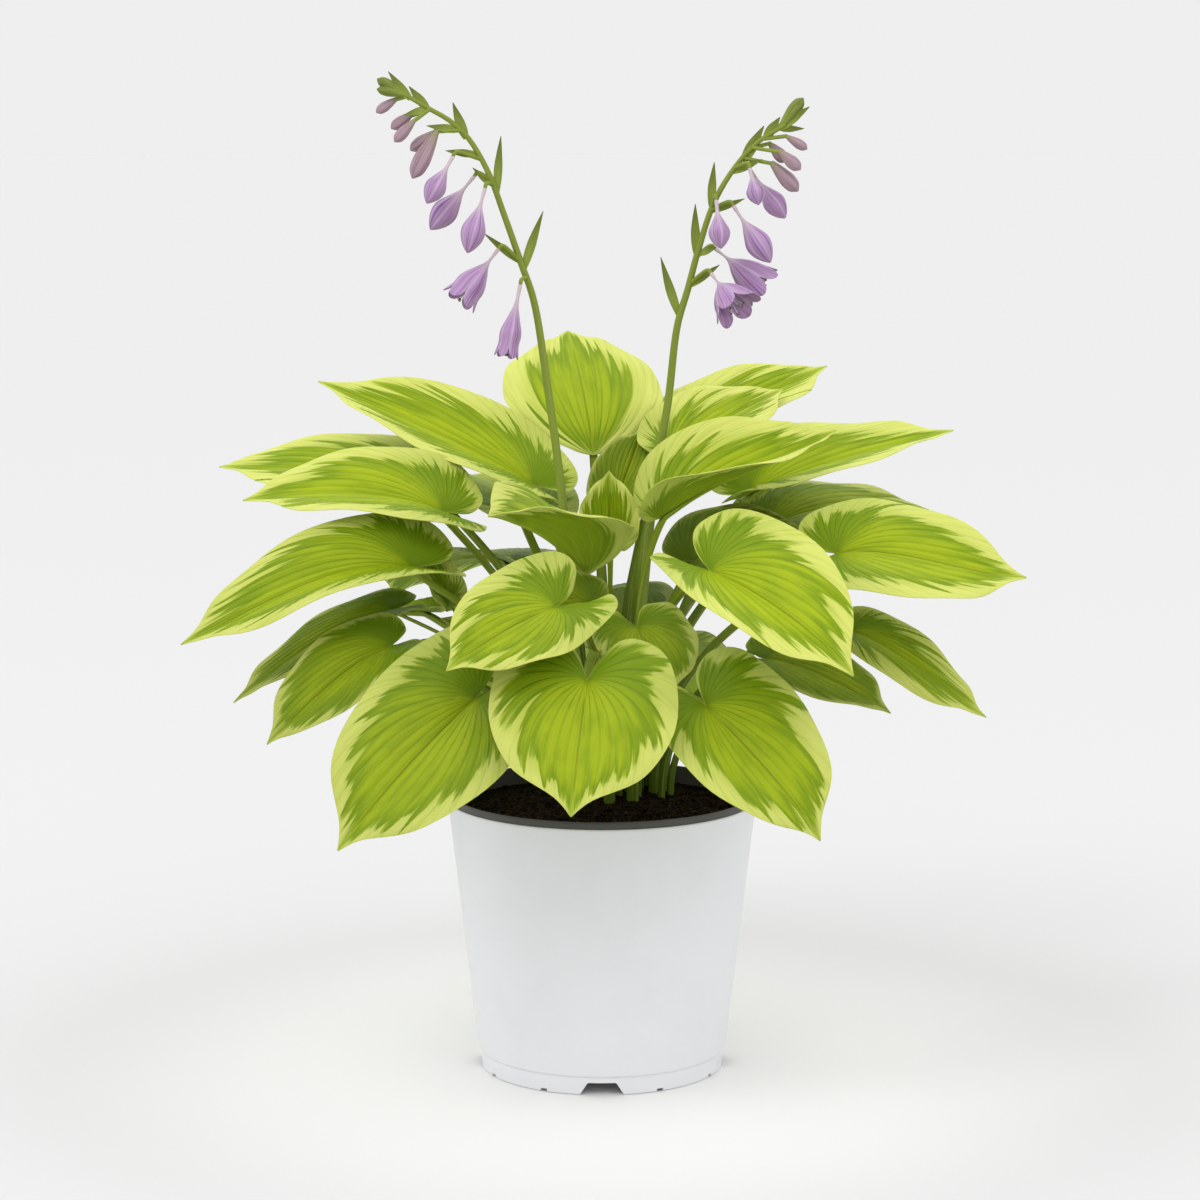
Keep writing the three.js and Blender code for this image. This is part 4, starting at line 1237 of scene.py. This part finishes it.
@dataclass
class FlowerStem:
    """A leaning flower stem with its bracts, short stalks and young buds.

    Attributes:
        name: The stem's node.
        root: Where it stands on the crown, as radius and turn.
        path: Points of its line above the soil.
        bracts: Lance-shaped bracts as base, tip and width.
        stalks: Short stalks of buds as base, tip and radius.
        buds: Young buds as base, tip and width.
        radius: Radius at the soil and at the end.
    """

    name: str
    root: Pair
    path: tuple[Triple, ...]
    bracts: tuple[tuple[Triple, Triple, float], ...]
    stalks: tuple[tuple[Triple, Triple, float], ...]
    buds: tuple[tuple[Triple, Triple, float], ...]
    radius: Pair = (3.4, 1.5)

    def bract(self, draft: Draft, base: np.ndarray, tip: np.ndarray, width: float, seed: float) -> None:
        """Adds one bract: a pointed blade, cupped along its middle.

        Args:
            draft: The stem's draft.
            base: Where it starts.
            tip: Its tip.
            width: Its width.
            seed: What shifts its markings.
        """
        u = np.linspace(0, 1, 14)
        wide = through((0, 0.15, 0.4, 0.75, 1), (0.55, 0.85, 1.0, 0.55, 0.07), u) * width / 2
        axis = tip - base
        bow = np.cross(unit(axis), unit(np.cross(unit(axis), np.array([0.2, -1.0, 0.2]))))
        path = base + axis * u[:, None] + bow * (0.05 * np.linalg.norm(axis) * np.sin(math.pi * u))[:, None]
        a = np.linspace(-1, 1, 7)
        cup = 0.35 * a**2
        upper = np.stack([a, cup + 0.12 * (1 - a**2)], -1)
        lower = np.stack([a[::-1], cup[::-1] - 0.12 * (1 - a[::-1] ** 2) - 0.05], -1)
        section = np.vstack([upper, lower])
        rings = carried_rings(path, section[None] * wide[:, None, None], (0.0, -1.0, 0.2))
        draft.tube(rings, 1, reach=u[:, None], around=np.linspace(0, 1, len(section)), seed=seed)

    def bud(
        self, draft: Draft, base: np.ndarray, tip: np.ndarray, width: float, seed: float, finish: int
    ) -> None:
        """Adds one young bud: a small pointed spindle with six low ribs.

        Args:
            draft: The stem's draft.
            base: Where it starts.
            tip: Its tip.
            width: Its width.
            seed: What shifts its markings.
            finish: The number of its finish.
        """
        u = np.linspace(0, 1, 18)
        radius = through((0, 0.35, 0.7, 0.9, 1), (0.16, 0.4, 0.5, 0.34, 0.05), u) * width
        angle = turns(24)
        section = circle(24) * (1 - 0.1 * np.abs(np.sin(3 * angle)) ** 6)[:, None]
        path = base + (tip - base) * u[:, None]
        rings = carried_rings(path, section[None] * radius[:, None, None], (0.2, -1.0, 0.3))
        draft.tube(rings, finish, reach=(0.25 + 0.75 * u)[:, None], around=angle / (2 * math.pi), seed=seed)

    def build(self, soil: Soil, flowers: Sequence["Flower"], finishes: Sequence[bpy.types.Material]) -> None:
        """Builds the stem with all that has grown together with it.

        Args:
            soil: The soil that it stands in.
            flowers: The flowers, whose own stalks spring from it.
            finishes: The materials of the stem, the bracts and the buds.
        """
        foot, _ = soil.crown_spot(self.root)
        low = [foot + np.array([0.0, 0.0, z]) for z in (-ROOT_DEPTH, 0.0, 16.0)]
        path = flowing_line(np.vstack([low, np.array(self.path, float)]), 90)
        share = np.linspace(0, 1, len(path))
        radii = self.radius[0] + (self.radius[1] - self.radius[0]) * share**2
        draft = Draft(self.name.replace("flower_stem", "scape"))
        rings = carried_rings(path, round_sections(radii, 14))
        draft.tube(rings, 0, reach=share[:, None], around=np.linspace(0, 1, 14), seed=2.0)
        for i, (base, tip, width) in enumerate(self.bracts):
            self.bract(draft, np.array(base, float), np.array(tip, float), width, i * 1.9)
        for base, tip, radius in self.stalks:
            line = np.linspace(np.array(base, float), np.array(tip, float), 6)
            rings = carried_rings(line, round_sections([radius] * 6, 10))
            draft.tube(rings, 0, reach=0.7, around=0.0, seed=1.0)
        for i, (base, tip, width) in enumerate(self.buds):
            # The youngest buds, which still stand up at the top of the stem, are green.
            green = tip[2] > 1.6 * base[2] - 0.6 * self.path[-1][2] + 3
            self.bud(draft, np.array(base, float), np.array(tip, float), width, i * 2.3, 1 if green else 2)
        for flower in flowers:
            if flower.stem == self.name:
                flower.draw_stalk(draft)
        settle(draft.build(finishes, 60.0), self.name)


@dataclass
class Flower:
    """One flower: a slim tube that swells into a closed bud or an open six-lobed bell.

    Attributes:
        name: The flower's node.
        stem: The stem that carries it.
        start: Where its stalk leaves the stem.
        base: Where the tube starts.
        tip: The end of the flower.
        width: Its greatest width.
        mouth: How far its mouth has opened, from 0 (closed) to 1.
    """

    name: str
    stem: str
    start: Triple
    base: Triple
    tip: Triple
    width: float
    mouth: float

    def draw_stalk(self, draft: Draft) -> None:
        """Adds the flower's bent stalk to its stem.

        Args:
            draft: The stem's draft.
        """
        base = np.array(self.base, float)
        line = unit(np.array(self.tip, float) - base)
        corners = np.array([self.start, base - 3.4 * line, base - 0.3 * line], float)
        path = flowing_line(corners, 14)
        rings = carried_rings(path, round_sections(np.linspace(1.5, 1.4, 14), 12))
        draft.tube(rings, 0, reach=0.8, around=np.linspace(0, 1, 12), seed=3.2)

    def closed_shape(self, draft: Draft, seed: float) -> None:
        """Adds a closed flower, whose petals overlap along six soft seams.

        Args:
            draft: The flower's draft.
            seed: What shifts its markings.
        """
        u = np.linspace(0, 1, 40)
        w = self.width / 2
        sizes = (1.4, 1.7, 0.6 * w, w, 0.7 * w, 0.3 * w, 0.06 * w)
        radius = through((0, 0.28, 0.45, 0.66, 0.86, 0.96, 1), sizes, u)
        angle = turns(48)
        seams = 1 - 0.12 * ease(u, 0.3, 0.6)[:, None] * (np.abs(np.sin(3 * angle)) ** 7)[None]
        base, tip = np.array([self.base, self.tip], float)
        path = base + (tip - base) * u[:, None]
        rings = carried_rings(path, circle(48)[None] * (radius[:, None] * seams)[..., None], (0.2, -1.0, 0.3))
        draft.tube(rings, 0, reach=u[:, None], around=angle / (2 * math.pi), seed=seed)

    def open_shape(self, draft: Draft, seed: float) -> None:
        """Adds an open flower: a hollow bell whose six petals part and flare, with stamens inside.

        Args:
            draft: The flower's draft.
            seed: What shifts its markings.
        """
        w, mouth = self.width / 2, self.mouth
        bulge, lip = w * (1 - 0.16 * mouth), w * (0.35 + 0.65 * mouth)
        cut = 0.24 * mouth**2
        base, tip = np.array([self.base, self.tip], float)
        axis = tip - base
        angle = turns(72)
        lobe = np.abs(np.cos(3 * angle)) ** 0.55
        s_out = np.linspace(0, 1, 34)
        s_in = np.linspace(1, 0.5, 18)
        s = np.concatenate([s_out, s_in])[:, None] * np.ones(72)
        inside = np.concatenate([np.zeros(34), np.ones(18)])[:, None]
        place = s * (1 - cut + cut * lobe[None] * ease(s, 0.6, 1.0) + cut * (1 - ease(s, 0.6, 1.0)) * 0.45)
        sizes = (1.4, 1.7, 0.5 * w, bulge, 0.3 * bulge + 0.7 * lip, 1.06 * lip)
        radius = through((0, 0.28, 0.45, 0.66, 0.84, 1.02), sizes, place)
        flare = 0.16 * w * lobe[None] * ease(s, 0.8, 1.0)
        radius = radius + flare - inside * 0.8 * (1 - 0.4 * ease(s, 0.9, 1.0))
        way = unit(axis)
        side = unit(np.cross(way, np.array([0.2, -1.0, 0.3])))
        up = np.cross(way, side)
        around = side * np.cos(angle)[:, None] + up * np.sin(angle)[:, None]
        rings = base + axis * place[..., None] + around[None] * radius[..., None]
        draft.tube(rings, 0, reach=s, around=angle / (2 * math.pi), seed=seed)
        for i in range(6):
            turn = math.radians(60 * i + 30)
            out = side * math.cos(turn) + up * math.sin(turn)
            reach = 0.93 + 0.04 * math.sin(i * 2.1)
            spots = ((0.45, 0.0), (0.7, 0.12), (reach, 0.34))
            path = flowing_line(np.array([base + axis * along + out * off * w for along, off in spots]), 10)
            head = path[-1] + out * 0.6
            rings = carried_rings(path, round_sections([0.32] * 10, 6))
            draft.tube(rings, 1, reach=0.0, around=0.0, seed=1.0)
            anther = head + np.cross(way, out)[None] * np.linspace(-1.3, 1.3, 5)[:, None]
            rings = carried_rings(anther, round_sections([0.15, 0.6, 0.8, 0.6, 0.15], 8), (0.1, 0.2, 1.0))
            draft.tube(rings, 1, reach=1.0, around=0.0, seed=1.0)

    def build(self, finishes: Sequence[bpy.types.Material], seed: float) -> None:
        """Builds the flower.

        Args:
            finishes: The materials of the petals and the stamens.
            seed: What shifts its markings.
        """
        draft = Draft(self.name.replace("flower", "blossom"))
        if self.mouth > 0:
            self.open_shape(draft, seed)
        else:
            self.closed_shape(draft, seed)
        settle(draft.build(finishes, 65.0), self.name)


# Each row holds the values of a leaf from its spot on, in the order of the class.
LEAF_ROWS: dict[str, tuple[tuple, ...]] = {
    "left": (
        ((20, 168), (-50, 60, 410), (-206, 85, 483), (3, -5, 9), 92, (8, 2), 28, 10, 0, 4, 0.2, 0),
        ((31, 160), (-124, 68, 406), (-278, 80, 421), (0, -4, 9), 92, (12, 6), 20, 26, 0, 4, 0.2, 0),
        ((31, 186), (-112, -4, 398), (-250, -26, 409), (1, -4, 9), 98, (18, 10), 28, 26, 0, 4, 0.4, 0),
        ((31, 208), (-131, -56, 366), (-287, -92, 318), (1, -5, 9), 84, (34, 6), 32, 20, 0, 3, 0.4, 0),
        ((42, 190), (-146, -10, 330), (-257, -42, 269), (2, -2, 9), 50, (18, 6), 24, 30, 0, 1, 0.2, 0),
        ((42, 214), (-143, -88, 317), (-225, -134, 257), (-2, -7, 8), 66, (18, 6), 24, 24, 0, 1, 0.3, 0),
        ((42, 240), (-83, -168, 294), (-171, -228, 205), (-2, -8, 6), 114, (12, 8), 20, 24, 0, 3, 0.9, 12),
    ),
    "front": (
        ((31, 254), (-30, -160, 354), (-101, -212, 320), (0, -7, 8), 82, (10, 8), 14, 14, 0, 2, 0.8, 12, 0.8),
        ((42, 266), (-10, -192, 311), (-20, -250, 232), (0, -8, 5), 122, (6, 8), 10, 22, 0, 1, 0.9, 40, 0.2),
        ((31, 277), (24, -98, 331), (44, -146, 290), (2, -8, 5), 70, (8, 8), 14, 26, 0, 1, 0.8, 10),
    ),
    "back": (
        ((20, 104), (-6, 92, 428), (-26, 180, 513), (1, -6, 6), 120, (14, 10), 12, 24, 0, 3, -1, 0),
        ((9, 90), (10, 64, 396), (30, 88, 448), (0, -7, 5), 50, (4, 4), 20, 16, 0, 1, 0.3, 0),
    ),
    "young": (
        ((20, 268), (-12, -46, 358), (-77, -100, 407), (9, 6, 5), 124, (12, 12), 57, 41, 0, 4, -0.8, 0),
        ((9, 280), (5, 2, 374), (5, -8, 428), (0, -8, 2), 46, (6, 4), 26, 6, 0, 1, -0.4, 0),
    ),
    "right": (
        ((20, 72), (58, 126, 440), (170, 188, 486), (-1, -5, 9), 76, (4, -2), 26, 16, 0, 3, 0.2, 0),
        ((20, 40), (50, 74, 434), (134, 136, 473), (-1, -5, 9), 74, (4, 0), 26, 16, 0, 3, 0.2, 0),
        ((20, 336), (41, -13, 395), (164, -4, 456), (-3, -2, 9), 94, (10, -5), 46, 8, 18, 4, -0.2, 0),
        ((31, 20), (107, 62, 404), (256, 88, 447), (-2, -3, 9), 94, (8, 2), 28, 10, 0, 5, 0.2, 0),
        ((31, 42), (122, 104, 374), (245, 150, 381), (0, -3, 9), 92, (18, 8), 22, 26, 0, 3, 0.2, 0),
        ((31, 342), (163, -44, 374), (292, -62, 360), (1, -6, 8), 100, (18, -6), 18, 20, 0, 4, 0.5, 0),
        ((20, 8), (64, 14, 361), (150, 30, 380), (1, -5, 8), 76, (12, 4), 22, 22, 0, 1, 0.3, 0),
        ((31, 303), (72, -122, 373), (164, -192, 313), (1, -7, 8), 104, (14, 18), 30, 12, 0, 2, 0.45, 10, 0.4),
        ((42, 350), (174, -18, 316), (266, -60, 262), (2, -6, 9), 54, (14, -2), 20, 26, 0, 2, 0.3, 0),
        ((42, 326), (112, -66, 304), (195, -116, 275), (1, -5, 9), 62, (12, 6), 22, 26, 0, 1, 0.5, 0),
        ((42, 290), (68, -162, 289), (142, -212, 208), (2, -7, 7), 104, (6, 12), 20, 16, 0, 2, 0.5, 16, 0.4),
    ),
    "inner": (
        ((31, 230), (-70, -44, 300), (-112, -50, 330), (0, -4, 8), 46, (4, 4), 26, 16, 0, 1, 0.5, 0),
        ((20, 204), (-48, -26, 330), (-84, -18, 352), (0, -3, 8), 46, (6, 4), 30, 16, 0, 1, 0.5, 0),
        ((20, 56), (64, 72, 350), (88, 80, 382), (-4, -7, 4), 34, (4, 4), 34, 10, 0, 1, 0.3, 0),
        ((42, 202), (-108, -22, 340), (-128, -24, 374), (4, -8, 4), 32, (3, 3), 34, 10, 0, 1, 0.3, 0),
        ((20, 302), (-8, -64, 342), (-62, -74, 352), (0, -7, 6), 44, (6, 4), 20, 16, 0, 1, 0.5, 0),
    ),
    "rear": (
        ((42, 90), (4, 132, 324), (2, 247, 258), (0, 5, 8), 112, (22, 16), 16, 40, 0, 2, 0.5, 0),
        ((31, 64), (84, 140, 340), (168, 244, 304), (2, 4, 9), 112, (22, 16), 20, 36, 0, 2, 0.4, 0),
        ((31, 124), (-70, 136, 344), (-165, 248, 300), (-2, 4, 9), 114, (22, 16), 20, 36, 0, 2, 0.5, 0),
        ((42, 28), (140, 80, 306), (256, 158, 250), (4, 3, 9), 104, (18, 14), 20, 36, 0, 2, 0.5, 0),
        ((42, 146), (-128, 98, 312), (-242, 176, 258), (-4, 3, 9), 106, (18, 14), 20, 36, 0, 2, 0.4, 0),
        ((42, 66), (52, 160, 272), (94, 250, 200), (3, 7, 5), 106, (14, 10), 14, 36, 0, 2, 0.9, 16),
        ((42, 112), (-52, 160, 270), (-100, 252, 202), (-3, 7, 5), 106, (14, 10), 14, 36, 0, 2, 0.9, 16),
        ((42, 168), (-138, 30, 290), (-226, 60, 236), (-6, 1, 8), 90, (16, 12), 18, 34, 0, 2, 0.5, 0),
        ((42, 8), (130, 26, 288), (200, 54, 256), (5, 1, 8), 74, (14, 12), 18, 34, 0, 2, 0.5, 0),
        ((20, 136), (-60, 114, 384), (-122, 224, 392), (-1, 3, 9), 102, (22, 16), 22, 30, 0, 2, 0.4, 0),
        ((31, 86), (34, 130, 388), (82, 238, 400), (1, 3, 9), 98, (22, 16), 22, 30, 0, 2, 0.4, 0),
    ),
}
LEAVES = [Leaf(f"leaf_{side}_{n}", *row) for side, rows in LEAF_ROWS.items() for n, row in enumerate(rows, 1)]

STEMS: tuple[FlowerStem, ...] = (
    FlowerStem(
        name="flower_stem_left",
        root=(9, 190),
        path=(
            (-20, 22, 300), (-28, 22, 403), (-39, 18, 489), (-48, 14, 546), (-57, 10, 573), (-68, 6, 605),
            (-79, 2, 635), (-93, 0, 659), (-106, -2, 671), (-120, -4, 679), (-137, -6, 689),
        ),
        bracts=(
            ((-120, -4, 678), (-133, -7, 694), 6.5), ((-94, 0, 658), (-103, -4, 683), 7),
            ((-73, 4, 621), (-70, 1, 660), 6), ((-55, 11, 567), (-41, 8, 608), 6.5),
            ((-56, 10, 572), (-82, -2, 593), 5.5), ((-76, 3, 626), (-90, 8, 638), 5),
            ((-86, 1, 647), (-108, -10, 650), 5.5), ((-98, -1, 664), (-121, -8, 667), 6),
            ((-120, -4, 679), (-137, -12, 674), 5), ((-132, -6, 685), (-147, -10, 704), 6),
        ),
        stalks=(
            ((-98, -1, 664), (-116, -4, 663), 1.5),
            ((-118, -4, 679), (-131, -2, 674), 1.4), ((-118, -4, 679), (-130, -9, 670), 1.4),
            ((-134, -6, 687), (-142, -3, 685), 1.4),
        ),
        buds=(
            ((-141, -3, 686), (-156, -4, 676), 7), ((-130, -2, 676), (-146, -1, 665), 8),
            ((-129, -9, 671), (-143, -12, 656), 8), ((-114, -3, 663.5), (-133, 4, 650), 9),
            ((-114, -4, 664), (-131, -9, 631), 12), ((-135, -6, 688), (-155, -5, 699), 8),
            ((-135, -6, 688), (-155, -9, 692), 7),
        ),
    ),
    FlowerStem(
        name="flower_stem_right",
        root=(9, 0),
        path=(
            (26, 24, 300), (38, 30, 417), (47, 26, 475), (53, 16, 528), (60, 13, 553), (67, 10, 580),
            (78, 6, 614), (92, 3, 638), (107, 0, 655), (127, -4, 668),
        ),
        bracts=(
            ((54, 16, 535), (41, 12, 576), 6.5), ((66, 11, 577), (65, 8, 613), 6.5),
            ((76, 7, 611), (78, 4, 642), 6), ((98, 2, 642), (112, -2, 667), 8),
            ((77, 6.4, 608), (99, -4, 617), 5), ((62, 12, 556), (82, 2, 571), 5.5),
            ((91, 3, 635), (111, -4, 644), 5.5), ((113, -1, 658), (123, -4, 673), 7),
            ((122, -3, 665), (143, -8, 680), 7), ((122, -3, 665), (140, 2, 665), 5),
            ((67, 10, 578), (80, 4, 583), 5),
        ),
        stalks=(
            ((104, 0, 652), (117, 4, 655), 1.4), ((104, 0, 652), (123, -8, 649), 1.4),
            ((97, 2, 645), (118, -2, 641), 1.4), ((112, -1, 658), (128, -3, 660), 1.4),
        ),
        buds=(
            ((127, -3, 660), (142, -3, 651), 7), ((116, 4, 655), (128, 7, 642), 9),
            ((122, -8, 650), (137, -11, 637), 9), ((117, -2, 642), (136, -2, 622), 11),
            ((123, -3, 666), (139, -2, 686), 9),
        ),
    ),
)

# Each row holds the values of a flower from its start on.
FLOWER_ROWS: dict[str, tuple[tuple, ...]] = {
    "left": (
        ((-84, 1.4, 644), (-103, -8, 646), (-121, -14, 614), 15, 0),
        ((-77, 2.8, 630), (-89, 9, 632), (-120, 13, 595), 18, 0),
        ((-76, 3, 627), (-81, -8, 624), (-93, -16, 580), 17, 0),
        ((-57, 10, 573), (-72, -1, 582), (-100, -9, 546), 24, 0.85),
        ((-53, 11.4, 562), (-57, 1, 557), (-67, -6, 507), 17, 0.7),
    ),
    "right": (
        ((92, 3, 638), (102, -8, 638), (108, -14, 613), 13, 0),
        ((91, 3, 636), (104, 9, 635), (128, 12, 603), 16, 0),
        ((77, 6.3, 611), (79, -8, 616), (82, -17, 583), 15, 0),
        ((76, 6.6, 609), (91, -3, 612), (117, -6, 573), 18, 0),
        ((66, 10.4, 576), (79, 10, 582), (114, 14, 554), 27, 1),
        ((61, 12.6, 557), (76, 0, 565), (95, -17, 540), 30, 1),
    ),
}
FLOWERS = [
    Flower(f"flower_{side}_{n}", f"flower_stem_{side}", *row)
    for side, rows in FLOWER_ROWS.items() for n, row in enumerate(rows, 1)
]


@dataclass
class Studio:
    """The pale floor, the soft light and the camera.

    Attributes:
        eye: Where the camera stands.
        pitch: How far it looks down, in degrees.
        lens: Its focal length.
        sky: Brightness of the light from the horizon.
        zenith: Brightness of the light from above.
    """

    eye: Triple = (-0.0014, -2.375, 0.686)
    pitch: float = 8.4
    lens: float = 102.0
    sky: float = 0.86
    zenith: float = 1.6

    def floor(self) -> None:
        """Lays the floor, a wide thin disc."""
        ring = circle(96) * 40000
        draft = Draft("studio_floor")
        draft.tube(np.array([np.column_stack([ring, np.full(96, z)]) for z in (-12.3, -0.3)]))
        draft.build([FLOOR_WITH_PAINTED_LIGHT.material()])

    def lamp(self, name: str, place: Triple, size: float, power: float) -> None:
        """Hangs a soft lamp that looks at the plant.

        Args:
            name: Its name.
            place: Where it hangs, in metres.
            size: Its width, in metres.
            power: Its power, in watts.
        """
        light = bpy.data.lights.new(name, "AREA")
        light.size = size
        light.energy = power
        lamp = bpy.data.objects.new(name, light)
        lamp.location = place
        lamp.rotation_euler = (Vector((0, 0, 0.4)) - Vector(place)).to_track_quat("-Z", "Y").to_euler()
        bpy.context.scene.collection.objects.link(lamp)

    def build(self) -> None:
        """Sets up floor, light and camera."""
        scene = bpy.context.scene
        scene.view_settings.view_transform = "Standard"
        self.floor()
        world = bpy.data.worlds.new("soft_daylight")
        world.use_nodes = True
        nodes, links = world.node_tree.nodes, world.node_tree.links
        way = nodes.new("ShaderNodeSeparateXYZ")
        links.new(nodes.new("ShaderNodeTexCoord").outputs["Generated"], way.inputs[0])
        rise = nodes.new("ShaderNodeMapRange")
        links.new(way.outputs["Z"], rise.inputs["Value"])
        limits = {"From Min": 0.05, "From Max": 0.9, "To Min": self.sky, "To Max": self.zenith}
        for name, value in limits.items():
            rise.inputs[name].default_value = value
        nodes["Background"].inputs["Color"].default_value = (1, 1, 1, 1)
        links.new(rise.outputs[0], nodes["Background"].inputs["Strength"])
        scene.world = world
        self.lamp("key_light", (-1.5, -2.0, 2.8), 1.0, 18.0)
        self.lamp("fill_light", (2.2, -1.6, 1.6), 2.0, 2.0)
        camera = bpy.data.cameras.new("camera")
        camera.lens = self.lens
        camera.sensor_width = 36.0
        camera.clip_end = 200.0
        eye = bpy.data.objects.new("camera", camera)
        eye.location = self.eye
        eye.rotation_euler = (math.radians(90 - self.pitch), 0, 0)
        scene.collection.objects.link(eye)
        scene.camera = eye


def main() -> None:
    """Builds every piece in order."""
    logging.basicConfig(level=logging.INFO, format="%(name)s: %(message)s")
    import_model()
    Studio().build()
    pot = NurseryPot()
    pot.build_white()
    pot.build_black()
    soil = Soil(pot)
    soil.build()
    skins = [UPPER.material(), UNDER.material(), STALK.material()]
    for number, leaf in enumerate(LEAVES):
        leaf.phase = number
        leaf.build(soil, skins)
    stem_skins = [SCAPE.material(), BRACT.material(), BUD.material()]
    for stem in STEMS:
        stem.build(soil, FLOWERS, stem_skins)
    petal_skins = [PETAL.material(), ANTHER.material()]
    for number, flower in enumerate(FLOWERS):
        flower.build(petal_skins, number * 2.7)
    LOG.info("all pieces are in place")


if __name__ == "__main__":
    main()
